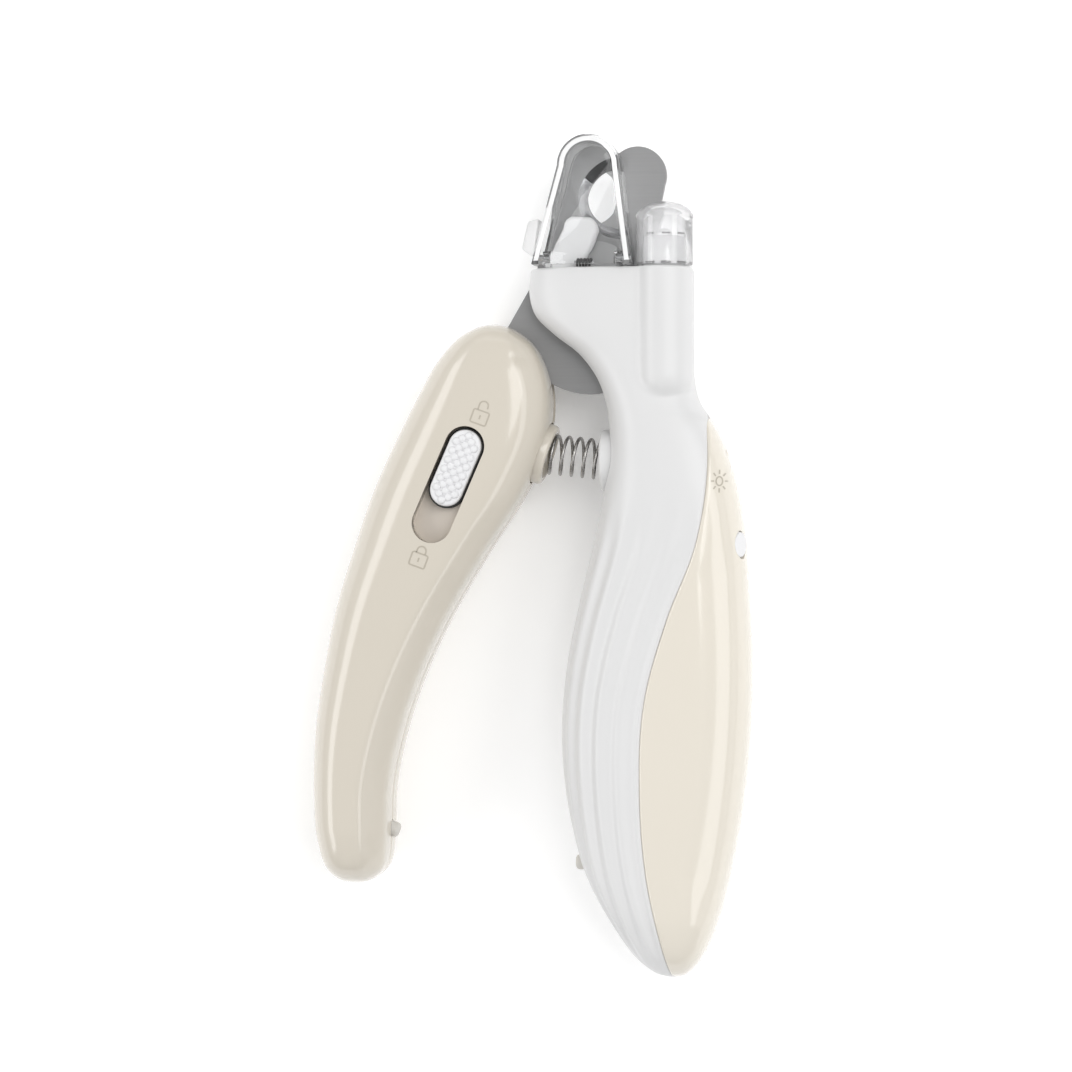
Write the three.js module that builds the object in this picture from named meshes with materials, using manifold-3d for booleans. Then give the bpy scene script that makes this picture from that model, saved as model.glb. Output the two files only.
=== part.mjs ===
// Pliers-type pet nail trimmer with a lamp in its head.
//
// The tool lies on its back: X to the right, Y toward the blades, Z up through its thickness.
// The origin is on the pivot axis, in the plane that the tool rests on. Units are millimetres.
// Stations along the handles are in percent of the reach from the pivot to the tip of the grip.

import * as THREE from 'three';
import { mergeVertices } from 'three/addons/utils/BufferGeometryUtils.js';
import Module from 'manifold-3d';

const wasm = await Module();
wasm.setup();

// ---------------------------------------------------------------- driving dimensions

const GRIP_REACH = 117.2;          // pivot to the tip of the grip
const HANDLE_THICKNESS = 22;       // both handles, front to back
const HEAD_THICKNESS = 17;         // white head around the blades
const HEAD_TOP = 8.4;              // flat top of the head above the pivot
const WALL = 2;                    // shell walls
const SECTION_POWER = 2.8;         // roundness of the handles' sections: 2 is an ellipse
const SEAM_GAP = 0.3;              // parting lines between shells
const CLEARANCE = 0.3;             // between pieces that touch or fit

const BLADE_THICKNESS = 2;
const BLADE_GAP = 0.2;             // between the two blades
const BLADE_RADIUS = 5.1;          // round end of each blade
const BLADE_REACH = 26;            // pivot to the centre of the round end
const NOTCH_RADIUS = 5.07;
const HUB_RADIUS = 9;              // of the fixed blade
const DISC_RADIUS = 13.7;          // of the moving blade's hub, and of the plate in front
const HUB_PLATE_THICKNESS = 0.8;
const CLOSE_ANGLE = THREE.MathUtils.degToRad(18.7);

const BOLT_RADIUS = 3;
const BOLT_HEAD_RADIUS = 5.5;
const NUT_WIDTH = 9;

const LAMP_RADIUS = 5;
const LAMP_X = 13.9;
const LAMP_FORWARD = 5.5;          // lamp axis in front of the blade plane
const LENS_WALL = 1;
const LENS_HEIGHT = 8.5;           // straight part of the lens
const LENS_DOME = 2.7;
const BARREL_LENGTH = 24;          // from the head's top to the barrel's rounded end

const GUARD_WALL = 1.4;
const GUARD_APEX = 32.4;
const GUARD_HALF_TOP = 5.1;
const GUARD_PIN_RADIUS = 0.6;
const GUARD_KNUCKLE_RADIUS = 1.4;
const GUARD_LEFT = -9.4;           // the guard's lower corners
const GUARD_RIGHT = 8.0;
const LUG_WIDTH = 1.4;             // the head's two ears that hold the guard's pin
const LUG_INSET = 1;

const SPRING_RADIUS = 3.4;         // to the wire's centre
const WIRE_RADIUS = 0.3;
const SPRING_TURNS = 6;
const BOSS_RADIUS = 5.5;
const SEAT_DEPTH = 2;

const SLOT_RADIUS = 3.56;
const SLOT_LENGTH = 14.7;          // between the centres of its ends
const LOCK_TRAVEL = 6.4;
const SLIDER_RADIUS = 3.1;

const SCREW_RADIUS = 1.1;
const SCREW_HEAD_RADIUS = 2.2;
const SCREW_HEAD_HEIGHT = 1.4;

const CELL_RADIUS = 5.8;
const CELL_COUNT = 3;
const DOOR_RADIUS = 7;
const DOOR_THICKNESS = 1.6;
const CONTACT_THICKNESS = 0.4;
const CONTACT_RADIUS = 3.2;

const BUTTON_RADIUS = 2.4;
const BUTTON_STROKE = 0.8;

// ---------------------------------------------------------------- derived places

const MIDDLE = HANDLE_THICKNESS / 2;
const HALF_HEAD = HEAD_THICKNESS / 2;
const FIXED_LOW = MIDDLE + BLADE_GAP / 2;
const FIXED_HIGH = FIXED_LOW + BLADE_THICKNESS;
const MOVING_HIGH = MIDDLE - BLADE_GAP / 2;
const MOVING_LOW = MOVING_HIGH - BLADE_THICKNESS;
const FORK_HIGH = FIXED_HIGH + CLEARANCE + HUB_PLATE_THICKNESS + CLEARANCE;
const FORK_LOW = MOVING_LOW - CLEARANCE;

/** Y of a station, in percent of the reach below the pivot. */
const down = (percent) => -GRIP_REACH * percent / 100;

// ---------------------------------------------------------------- materials

const plastic = (color, roughness) => new THREE.MeshStandardMaterial({ color, roughness, metalness: 0 });
const metal = (color, roughness) => new THREE.MeshStandardMaterial({ color, roughness, metalness: 1 });

const cream = () => plastic(0xe6e0d2, 0.25);
const white = () => plastic(0xe8e8e8, 0.3);
const black = () => plastic(0x1c1c1c, 0.5);
const steel = () => metal(0xa0a0a0, 0.35);
const rubber = () => plastic(0xd8d4cc, 0.8);
const taupe = () => plastic(0x8f8984, 0.6);
const clear = () => {
  const material = plastic(0xf4f6f8, 0.05);
  material.transparent = true;
  material.opacity = 0.35;
  return material;
};

// ---------------------------------------------------------------- solids

/** A closed three.js geometry as a manifold solid, with its faces turned outward. */
function solid(geometry) {
  geometry.deleteAttribute('normal');
  geometry.deleteAttribute('uv');
  const merged = mergeVertices(geometry, 1e-4);
  const body = new wasm.Manifold(new wasm.Mesh({
    numProp: 3,
    vertProperties: merged.attributes.position.array,
    triVerts: Uint32Array.from(merged.index.array),
  }));
  return body;
}

/** A manifold solid as a three.js geometry. */
function geometryOf(body) {
  const mesh = body.getMesh();
  const geometry = new THREE.BufferGeometry();
  geometry.setAttribute('position', new THREE.BufferAttribute(Float32Array.from(mesh.vertProperties), 3));
  geometry.setIndex(new THREE.BufferAttribute(Uint32Array.from(mesh.triVerts), 1));
  geometry.computeVertexNormals();
  return geometry;
}

/** A flat outline raised from zLow to zHigh. */
function prism(shape, zLow, zHigh, curveSegments = 10) {
  const geometry = new THREE.ExtrudeGeometry(shape, { depth: zHigh - zLow, bevelEnabled: false, curveSegments });
  return geometry.translate(0, 0, zLow);
}

/** A box between two corners. */
function block(x0, x1, y0, y1, z0, z1) {
  const geometry = new THREE.BoxGeometry(x1 - x0, y1 - y0, z1 - z0);
  return geometry.translate((x0 + x1) / 2, (y0 + y1) / 2, (z0 + z1) / 2);
}

/** A round bar from one point to another. */
function bar(from, to, radius, segments = 16) {
  const along = new THREE.Vector3().subVectors(to, from);
  const geometry = new THREE.CylinderGeometry(radius, radius, along.length(), segments);
  const up = new THREE.Vector3(0, 1, 0);
  geometry.applyQuaternion(new THREE.Quaternion().setFromUnitVectors(up, along.clone().normalize()));
  const middle = new THREE.Vector3().addVectors(from, to).multiplyScalar(0.5);
  return geometry.translate(middle.x, middle.y, middle.z);
}

/** A round bar that stands on the XY plane. */
function post(x, y, radius, zLow, zHigh, segments = 16) {
  return bar(new THREE.Vector3(x, y, zLow), new THREE.Vector3(x, y, zHigh), radius, segments);
}

/** A closed [radius, height] profile turned about the Y axis, faces outward whichever way it was drawn. */
function lathe(profile, segments) {
  const points = profile.map(([radius, height]) => new THREE.Vector2(radius, height));
  if (THREE.ShapeUtils.isClockWise(points)) points.reverse();
  return new THREE.LatheGeometry(points, segments);
}

/** An outline from corner points, as [x, y] pairs. */
function outline(points) {
  return new THREE.Shape(points.map(([x, y]) => new THREE.Vector2(x, y)));
}

/** A smooth curve through [x, y] points, sampled evenly between them. */
function smooth(points, samples) {
  return new THREE.SplineCurve(points.map(([x, y]) => new THREE.Vector2(x, y))).getPoints(samples);
}

/**
 * A handle: rings between a left and a right contour, each a rounded rectangle in section.
 * stations: { left: [x, y], right: [x, y], half } from the head down, half being the half thickness.
 */
function handleLoft(stations, inset, rings, power) {
  const lefts = smooth(stations.map((station) => station.left), rings);
  const rights = smooth(stations.map((station) => station.right), rings);
  const halves = smooth(stations.map((station, index) => [index, station.half]), rings);
  const SIDES = 20;
  const positions = [];
  for (let ring = 0; ring <= rings; ring++) {
    const centre = new THREE.Vector2().addVectors(lefts[ring], rights[ring]).multiplyScalar(0.5);
    const reach = new THREE.Vector2().subVectors(rights[ring], lefts[ring]).multiplyScalar(0.5);
    const width = reach.length();
    reach.multiplyScalar(Math.max(width - inset, 0.2) / width);
    const half = Math.max(Math.min(halves[ring].y, MIDDLE) - inset, 0.2);
    for (let side = 0; side < SIDES; side++) {
      const angle = 2 * Math.PI * side / SIDES;
      const across = Math.sign(Math.cos(angle)) * Math.abs(Math.cos(angle)) ** (2 / power);
      const depth = Math.sign(Math.sin(angle)) * Math.abs(Math.sin(angle)) ** (2 / power);
      positions.push(centre.x + reach.x * across, centre.y + reach.y * across, MIDDLE + half * depth);
    }
  }
  const index = [];
  for (let ring = 0; ring < rings; ring++) {
    for (let side = 0; side < SIDES; side++) {
      const here = ring * SIDES + side;
      const next = ring * SIDES + (side + 1) % SIDES;
      index.push(here, next, here + SIDES, next, next + SIDES, here + SIDES);
    }
  }
  const last = rings * SIDES;
  for (let side = 1; side < SIDES - 1; side++) {
    index.push(0, side + 1, side);
    index.push(last, last + side, last + side + 1);
  }
  const geometry = new THREE.BufferGeometry();
  geometry.setAttribute('position', new THREE.Float32BufferAttribute(positions, 3));
  geometry.setIndex(index);
  return geometry;
}

const group = new THREE.Group();
group.name = 'pet_nail_trimmer';

/** Adds a named mesh; body is a manifold solid or a three.js geometry. */
function add(name, body, material, position = [0, 0, 0]) {
  const geometry = body.isBufferGeometry ? body : geometryOf(body);
  const mesh = new THREE.Mesh(geometry, material);
  mesh.name = name;
  mesh.position.set(...position);
  group.add(mesh);
  return mesh;
}

// ---------------------------------------------------------------- handle outlines

const gripStations = [
  { left: [-10.7, HEAD_TOP], right: [18.7, HEAD_TOP], half: HALF_HEAD },
  { left: [-11.0, 4.5], right: [18.7, 4.5], half: HALF_HEAD },
  { left: [-10.0, 0.4], right: [18.7, 0.4], half: HALF_HEAD },
  { left: [-6.4, down(2.8)], right: [18.7, down(2.8)], half: HALF_HEAD },
  { left: [-1.8, down(5.8)], right: [18.7, down(5.8)], half: HALF_HEAD },
  { left: [1.4, down(9.4)], right: [18.7, down(9.4)], half: HALF_HEAD * 1.02 },
  { left: [2.9, down(12.6)], right: [19.4, down(12.6)], half: HALF_HEAD * 1.06 },
  { left: [3.7, down(17)], right: [22.7, down(17)], half: MIDDLE * 0.9 },
  { left: [3.2, down(24.3)], right: [25.9, down(24.3)], half: MIDDLE * 0.98 },
  { left: [1.6, down(31.6)], right: [27.5, down(31.6)], half: MIDDLE },
  { left: [-1.4, down(42.2)], right: [28.5, down(42.2)], half: MIDDLE },
  { left: [-4.0, down(53.3)], right: [29.0, down(53.3)], half: MIDDLE },
  { left: [-4.8, down(65)], right: [28.5, down(65)], half: MIDDLE },
  { left: [-3.4, down(75.5)], right: [27.1, down(75.5)], half: MIDDLE },
  { left: [0, down(85.6)], right: [24.8, down(85.6)], half: MIDDLE },
  { left: [4.5, down(92.4)], right: [22.6, down(92.4)], half: MIDDLE * 0.93 },
  { left: [8.4, down(96.9)], right: [20.3, down(96.9)], half: MIDDLE * 0.72 },
  { left: [11.6, down(99.15)], right: [18.0, down(99.15)], half: MIDDLE * 0.42 },
  { left: [14.0, down(100)], right: [16.2, down(100)], half: MIDDLE * 0.1 },
];

const leverStations = [
  { left: [-16.9, down(0.8)], right: [-15.4, down(1.0)], half: MIDDLE * 0.12 },
  { left: [-19.5, down(1.5)], right: [-12.4, down(2.2)], half: MIDDLE * 0.58 },
  { left: [-22.8, down(3.7)], right: [-9.4, down(4.1)], half: MIDDLE * 0.74 },
  { left: [-27.0, down(7)], right: [-7.9, down(7.2)], half: MIDDLE * 0.82 },
  { left: [-30.2, down(11.4)], right: [-6.4, down(11.4)], half: MIDDLE * 0.88 },
  { left: [-33.8, down(17.2)], right: [-6.9, down(17.2)], half: MIDDLE * 0.94 },
  { left: [-38.7, down(26.3)], right: [-11.2, down(26.3)], half: MIDDLE },
  { left: [-42.4, down(35.4)], right: [-18.0, down(35.4)], half: MIDDLE },
  { left: [-45.6, down(44.5)], right: [-24.4, down(44.5)], half: MIDDLE },
  { left: [-47.7, down(53.7)], right: [-29.6, down(53.7)], half: MIDDLE },
  { left: [-49.2, down(62.8)], right: [-33.3, down(62.8)], half: MIDDLE },
  { left: [-49.5, down(71.9)], right: [-35.5, down(71.9)], half: MIDDLE },
  { left: [-48.9, down(79.4)], right: [-35.8, down(79.4)], half: MIDDLE * 0.97 },
  { left: [-47.4, down(83.8)], right: [-36.6, down(83.8)], half: MIDDLE * 0.78 },
  { left: [-45.2, down(85.7)], right: [-38.9, down(85.7)], half: MIDDLE * 0.45 },
  { left: [-43.2, down(86.3)], right: [-40.9, down(86.3)], half: MIDDLE * 0.12 },
];

/** The seam between the white shell and the cream cover, seen from the front. */
const frontSeam = smooth([
  [21.2, down(12)], [22.0, down(23.3)], [20.0, down(34.6)], [14.8, down(46)], [10.8, down(58.2)],
  [10.0, down(72)], [11.1, down(84)], [13.5, down(94)], [15.5, down(101)],
], 24);

/** The same seam on the back, nearer to the spine. */
const backSeam = smooth([
  [21.2, down(12)], [21.4, down(23.3)], [20.4, down(40)], [19.6, down(60)], [18.6, down(78)],
  [16.6, down(93)], [15.4, down(101)],
], 16);

/** Everything beyond a seam, toward the spine, as an outline moved sideways by an offset. */
function beyond(seam, offset) {
  const FAR = 60;
  const points = seam.map((point) => [point.x + offset, point.y]);
  points[0][1] -= offset;
  points.unshift([FAR, down(12) - offset]);
  points.push([points.at(-1)[0], down(110)], [FAR, down(110)]);
  return outline(points);
}

// ---------------------------------------------------------------- screws and bosses

const screws = {
  grip_screw_1: [9.5, down(16.8)],
  grip_screw_2: [12, down(31.5)],
  grip_screw_3: [4, down(79)],
  lever_screw_1: [-38.6, down(49)],
  lever_screw_2: [-42.4, down(75)],
};
const BOSS_WALL = 1.6;
const screwTop = MIDDLE + WALL * 2;

/** The bosses of one handle's screws, and the holes through them, for a front or a back shell. */
function screwBosses(prefix) {
  const places = Object.entries(screws).filter(([name]) => name.startsWith(prefix)).map(([, place]) => place);
  const seats = places.map(([x, y]) => solid(post(x, y, SCREW_RADIUS + BOSS_WALL, 0, HANDLE_THICKNESS, 12)));
  const holes = places.map(([x, y]) => {
    const shank = solid(post(x, y, SCREW_RADIUS + CLEARANCE, -1, screwTop + CLEARANCE, 12));
    const head = solid(post(x, y, SCREW_HEAD_RADIUS + CLEARANCE, -1, SCREW_HEAD_HEIGHT * 2 + CLEARANCE, 12));
    return shank.add(head);
  });
  return { seats: wasm.Manifold.union(seats), holes: wasm.Manifold.union(holes) };
}

/** One screw: a round head with its shank, standing on the XY plane. */
function screw() {
  const profile = [
    [0, 0], [SCREW_HEAD_RADIUS, 0], [SCREW_HEAD_RADIUS, SCREW_HEAD_HEIGHT],
    [SCREW_RADIUS, SCREW_HEAD_HEIGHT], [SCREW_RADIUS, screwTop - SCREW_HEAD_HEIGHT], [0, screwTop - SCREW_HEAD_HEIGHT],
  ];
  return lathe(profile, 12).rotateX(Math.PI / 2);
}

// ---------------------------------------------------------------- spring, its axis and bosses

const leverSeat = new THREE.Vector3(-7.1, down(21.1), MIDDLE);
const leverSeatAngle = -CLOSE_ANGLE;
const leverSeatWay = new THREE.Vector3(Math.cos(leverSeatAngle), Math.sin(leverSeatAngle), 0);
const gripSeat = new THREE.Vector3(2.1, down(21.8), MIDDLE);
const gripSeatWay = new THREE.Vector3(-1, 0, 0);
const BOSS_DEPTH = 5;

/** A cup whose mouth is at a point and opens along a way. */
function springBoss(mouth, way) {
  const back = mouth.clone().addScaledVector(way, -BOSS_DEPTH);
  const body = solid(bar(back, mouth, BOSS_RADIUS, 24));
  const floor = mouth.clone().addScaledVector(way, -SEAT_DEPTH);
  const cup = solid(bar(floor, mouth.clone().addScaledVector(way, 1), SPRING_RADIUS + WIRE_RADIUS + CLEARANCE, 20));
  return body.subtract(cup);
}

/** The hole that a shell leaves for a spring boss. */
function springBossHole(mouth, way) {
  const back = mouth.clone().addScaledVector(way, -BOSS_DEPTH - CLEARANCE);
  return solid(bar(back, mouth.clone().addScaledVector(way, BOSS_DEPTH), BOSS_RADIUS + CLEARANCE, 24));
}

/** A coil between the floors of two cups. */
class Coil extends THREE.Curve {
  constructor(start, end, radius, turns) {
    super();
    this.start = start;
    this.along = new THREE.Vector3().subVectors(end, start);
    this.side = new THREE.Vector3(0, 0, 1);
    this.across = new THREE.Vector3().crossVectors(this.along, this.side).normalize();
    this.radius = radius;
    this.turns = turns;
  }

  getPoint(t, target = new THREE.Vector3()) {
    const angle = 2 * Math.PI * this.turns * t;
    return target.copy(this.start).addScaledVector(this.along, t)
      .addScaledVector(this.side, this.radius * Math.cos(angle))
      .addScaledVector(this.across, this.radius * Math.sin(angle));
  }
}

// ---------------------------------------------------------------- blades

/** The fixed blade: a round end, a notch open to the right, and a tail in the grip's neck. */
function fixedBlade() {
  const shape = new THREE.Shape();
  shape.moveTo(-7.4, 8);
  shape.lineTo(-BLADE_RADIUS, BLADE_REACH);
  shape.absarc(0, BLADE_REACH, BLADE_RADIUS, Math.PI, Math.PI * 0.02, true);
  shape.lineTo(7.2, 16);
  shape.lineTo(7.6, 8);
  shape.lineTo(HUB_RADIUS, 0);
  shape.lineTo(13.6, down(18));
  shape.lineTo(12.4, down(19.6));
  shape.lineTo(8, down(19.6));
  shape.lineTo(7.6, down(16.3));
  shape.lineTo(4, down(15.5));
  shape.lineTo(-3.6, -HUB_RADIUS * 0.916);
  shape.absarc(0, 0, HUB_RADIUS, Math.PI * 1.37, Math.PI, true);
  const notch = solid(post(5.6, 21.1, NOTCH_RADIUS, 0, HANDLE_THICKNESS, 32));
  const bolt = solid(post(0, 0, BOLT_RADIUS + CLEARANCE, 0, HANDLE_THICKNESS));
  const [screwX, screwY] = screws.grip_screw_1;
  const screwHole = solid(post(screwX, screwY, SCREW_RADIUS + BOSS_WALL + CLEARANCE, 0, HANDLE_THICKNESS, 16));
  return solid(prism(shape, FIXED_LOW, FIXED_HIGH, 12)).subtract(notch).subtract(bolt).subtract(screwHole);
}

/** The moving blade, drawn closed and turned open: the mirror of the other one, with a tang. */
function movingBlade() {
  const head = outline([
    [7.4, 8], [BLADE_RADIUS, BLADE_REACH], [-BLADE_RADIUS, BLADE_REACH], [-7.2, 16], [-7.6, 8], [-HUB_RADIUS, 0],
    [HUB_RADIUS, 0],
  ]);
  const notch = solid(post(-6.7, 20.6, NOTCH_RADIUS, 0, HANDLE_THICKNESS, 32));
  const beak = solid(prism(head, MOVING_LOW, MOVING_HIGH))
    .add(solid(post(0, BLADE_REACH + 0.6, BLADE_RADIUS, MOVING_LOW, MOVING_HIGH, 32)))
    .subtract(notch)
    .rotate([0, 0, -THREE.MathUtils.radToDeg(CLOSE_ANGLE)]);
  const tang = outline([
    [-11.2, 4.5], [-14.6, down(1.2)], [-21, down(8)], [-27.5, down(20)], [-30, down(29)], [-26, down(31)],
    [-20, down(28)], [-16.4, down(24)], [-15.4, down(17)], [-11.4, down(14.2)], [-9.6, down(11)],
    [-3.5, -HUB_RADIUS], [0, 0], [-2, 9],
  ]);
  const discCut = outline([[-11.2, 4.5], [-13.5, 20], [-40, 20], [-40, down(1.2)], [-14.6, down(1.2)]]);
  const bolt = solid(post(0, 0, BOLT_RADIUS + CLEARANCE, 0, HANDLE_THICKNESS));
  return beak.add(solid(post(0, 0, DISC_RADIUS, MOVING_LOW, MOVING_HIGH, 56))
    .subtract(solid(prism(discCut, 0, HANDLE_THICKNESS))))
    .add(solid(prism(tang, MOVING_LOW, MOVING_HIGH)))
    .subtract(bolt);
}

add('fixed_blade', fixedBlade(), steel());
add('moving_blade', movingBlade(), steel());

const hubPlateLow = FIXED_HIGH + CLEARANCE;
const hubPlate = solid(post(0, 0, DISC_RADIUS, hubPlateLow, hubPlateLow + HUB_PLATE_THICKNESS, 48))
  .intersect(solid(block(GUARD_LEFT + GUARD_WALL + 1, GUARD_RIGHT - GUARD_WALL - 1, -8, DISC_RADIUS + 1,
    0, HANDLE_THICKNESS)))
  .subtract(solid(post(0, 0, BOLT_RADIUS + CLEARANCE, 0, HANDLE_THICKNESS)));
add('hub_plate', hubPlate, steel());

// ---------------------------------------------------------------- pivot

const boltTop = FORK_HIGH + WALL + 1.6;
const boltProfile = [
  [0, 0], [BOLT_HEAD_RADIUS, 0], [BOLT_HEAD_RADIUS, MIDDLE - HALF_HEAD],
  [BOLT_RADIUS, MIDDLE - HALF_HEAD], [BOLT_RADIUS, boltTop], [0, boltTop],
];
add('pivot_bolt', lathe(boltProfile, 32).rotateX(Math.PI / 2), steel());

const nutLow = FORK_HIGH + WALL;
const nut = solid(post(0, 0, NUT_WIDTH / 2, nutLow, boltTop, 6))
  .subtract(solid(post(0, 0, BOLT_RADIUS + CLEARANCE, 0, HANDLE_THICKNESS)));
add('pivot_nut', nut, steel());

/** The hole for the bolt, its head and its nut. */
const pivotHole = solid(post(0, 0, BOLT_RADIUS + CLEARANCE, -1, nutLow))
  .add(solid(post(0, 0, BOLT_HEAD_RADIUS + CLEARANCE, -1, MIDDLE - HALF_HEAD + CLEARANCE)))
  .add(solid(post(0, 0, NUT_WIDTH / 2 + CLEARANCE, nutLow - CLEARANCE, boltTop + CLEARANCE)));

// ---------------------------------------------------------------- lamp

const lampZ = MIDDLE + LAMP_FORWARD;
const lensInner = LAMP_RADIUS - LENS_WALL;
const holderRadius = lensInner - CLEARANCE;
const holderLow = down(6);
const holderHigh = HEAD_TOP + 5.7;
const lensLow = HEAD_TOP + CLEARANCE;

/** A lathe profile stood along +Y on the lamp's axis. */
function onLampAxis(profile, segments = 24) {
  return lathe(profile, segments).translate(LAMP_X, 0, lampZ);
}

const lensTop = lensLow + LENS_HEIGHT;
const domeSteps = [0, 1, 2, 3, 4].map((step) => step * Math.PI / 8);
add('lamp_lens', onLampAxis([
  [0, lensTop + LENS_DOME - LENS_WALL],
  [lensInner * 0.6, lensTop + (LENS_DOME - LENS_WALL) * 0.8],
  [lensInner, lensTop],
  [lensInner, lensLow],
  [LAMP_RADIUS, lensLow],
  ...domeSteps.slice(0, 4).map((angle) => [LAMP_RADIUS * Math.cos(angle), lensTop + LENS_DOME * Math.sin(angle)]),
  [0, lensTop + LENS_DOME],
]), clear());

const ledRadius = 1.5;
const ledSocket = ledRadius + CLEARANCE;
add('lamp_holder', onLampAxis([
  [0, holderHigh - 3], [ledSocket, holderHigh - 3], [ledSocket + 1, holderHigh], [holderRadius, holderHigh],
  [holderRadius, holderLow], [0, holderLow],
]), white());
add('lamp', onLampAxis([
  [0, holderHigh - 3 + CLEARANCE], [ledRadius, holderHigh - 3 + CLEARANCE], [ledRadius, holderHigh],
  [ledRadius * 0.7, holderHigh + 1.1], [0, holderHigh + 1.5],
], 16), clear());
add('lamp_board', onLampAxis([
  [0, holderLow - 1.2], [holderRadius, holderLow - 1.2], [holderRadius, holderLow - CLEARANCE], [0, holderLow - CLEARANCE],
]), plastic(0x2f6b3c, 0.5));

const barrelLow = HEAD_TOP - BARREL_LENGTH;
const barrel = solid(onLampAxis([
  [0, HEAD_TOP], [LAMP_RADIUS, HEAD_TOP], [LAMP_RADIUS, barrelLow + LAMP_RADIUS],
  [LAMP_RADIUS * 0.92, barrelLow + LAMP_RADIUS * 0.6], [LAMP_RADIUS * 0.7, barrelLow + LAMP_RADIUS * 0.28],
  [LAMP_RADIUS * 0.38, barrelLow + LAMP_RADIUS * 0.07], [0, barrelLow],
], 28));
const barrelBore = solid(onLampAxis([
  [0, HEAD_TOP + 1], [lensInner, HEAD_TOP + 1], [lensInner, holderLow - 1.6], [0, holderLow - 1.6],
]));

// ---------------------------------------------------------------- light button and its board

const buttonY = down(34.6);
const buttonRise = 5 * HANDLE_THICKNESS / 22;
const buttonAngle = THREE.MathUtils.degToRad(24);
const buttonWay = new THREE.Vector3(Math.cos(buttonAngle), 0, Math.sin(buttonAngle));
const buttonFace = new THREE.Vector3(27.4, buttonY, MIDDLE + buttonRise);
const alongButton = (distance) => buttonFace.clone().addScaledVector(buttonWay, distance);
const buttonLength = WALL + 1.5;
const buttonBack = -buttonLength;
add('light_button', bar(alongButton(buttonBack), alongButton(0), BUTTON_RADIUS), plastic(0xdcdcdc, 0.4));
const buttonHole = solid(bar(alongButton(-9), alongButton(4), BUTTON_RADIUS + CLEARANCE));

const switchDepth = 1.6;
const switchFace = buttonBack - BUTTON_STROKE - CLEARANCE;
add('light_switch', bar(alongButton(switchFace - switchDepth), alongButton(switchFace), 2, 12), black());
const boardFace = switchFace - switchDepth - CLEARANCE;
const board = new THREE.BoxGeometry(1.2, 20, 9)
  .rotateY(-buttonAngle)
  .translate(...alongButton(boardFace - 0.6).toArray());
add('control_board', board, plastic(0x2f6b3c, 0.5));

// ---------------------------------------------------------------- power

const cellX = 9;
const cellY = down(56.3);
const stackLow = DOOR_THICKNESS + CLEARANCE;
const stackHigh = HANDLE_THICKNESS - WALL - CLEARANCE * 2;
const cellPitch = (stackHigh - stackLow - 2 * (CONTACT_THICKNESS + CLEARANCE) + CLEARANCE) / CELL_COUNT;
add('contact_low', post(cellX, cellY, CONTACT_RADIUS, stackLow, stackLow + CONTACT_THICKNESS, 24), steel());
for (let cell = 0; cell < CELL_COUNT; cell++) {
  const low = stackLow + CONTACT_THICKNESS + CLEARANCE + cell * cellPitch;
  add(`cell_${cell + 1}`, post(0, 0, CELL_RADIUS, 0, cellPitch - CLEARANCE, 24), steel(), [cellX, cellY, low]);
}
add('contact_high', post(cellX, cellY, CONTACT_RADIUS, stackHigh - CONTACT_THICKNESS, stackHigh, 24), steel());

const coinSlot = solid(block(-DOOR_RADIUS * 0.6, DOOR_RADIUS * 0.6, -0.7, 0.7, -1, DOOR_THICKNESS / 2));
add('battery_door', solid(post(0, 0, DOOR_RADIUS, 0, DOOR_THICKNESS, 32)).subtract(coinSlot), white(),
  [cellX, cellY, 0]);

// ---------------------------------------------------------------- bumpers

const BUMPER_RADIUS = 2.4;
const BUMPER_LENGTH = 3.4;

/** A rubber stud whose tip is at a point; way is where it faces. */
function bumper(tip, way, grow = 0) {
  const back = tip.clone().addScaledVector(way, -BUMPER_LENGTH - grow);
  return bar(back, tip.clone().addScaledVector(way, grow * 10), BUMPER_RADIUS + grow, 16);
}

const leverBumperTip = new THREE.Vector3(-34.4, down(78.4), MIDDLE);
const leverBumperWay = new THREE.Vector3(Math.cos(-CLOSE_ANGLE), Math.sin(-CLOSE_ANGLE), 0);
const gripBumperTip = new THREE.Vector3(-2.4, down(82.8), MIDDLE);
const gripBumperWay = new THREE.Vector3(-1, 0, 0);
add('lever_bumper', bumper(leverBumperTip, leverBumperWay), rubber());
add('grip_bumper', bumper(gripBumperTip, gripBumperWay), rubber());

// ---------------------------------------------------------------- guard and nail stop

const guardLow = FIXED_HIGH + CLEARANCE;
const guardHigh = HANDLE_THICKNESS;
const guardPinY = HEAD_TOP + 1.5;
const guardPinZ = MIDDLE + HALF_HEAD + GUARD_KNUCKLE_RADIUS - CLEARANCE;
const guardBase = HEAD_TOP + CLEARANCE;

/** The guard's inverted U, moved inward by an inset. */
function guardOutline(inset) {
  const capRadius = GUARD_HALF_TOP - inset;
  const capY = GUARD_APEX - GUARD_HALF_TOP;
  const shape = new THREE.Shape();
  shape.moveTo(GUARD_LEFT + inset, guardBase - (inset ? 1 : 0));
  shape.lineTo(-capRadius, capY);
  shape.absarc(0, capY, capRadius, Math.PI, 0, true);
  shape.lineTo(GUARD_RIGHT - inset, guardBase - (inset ? 1 : 0));
  return shape;
}

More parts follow.
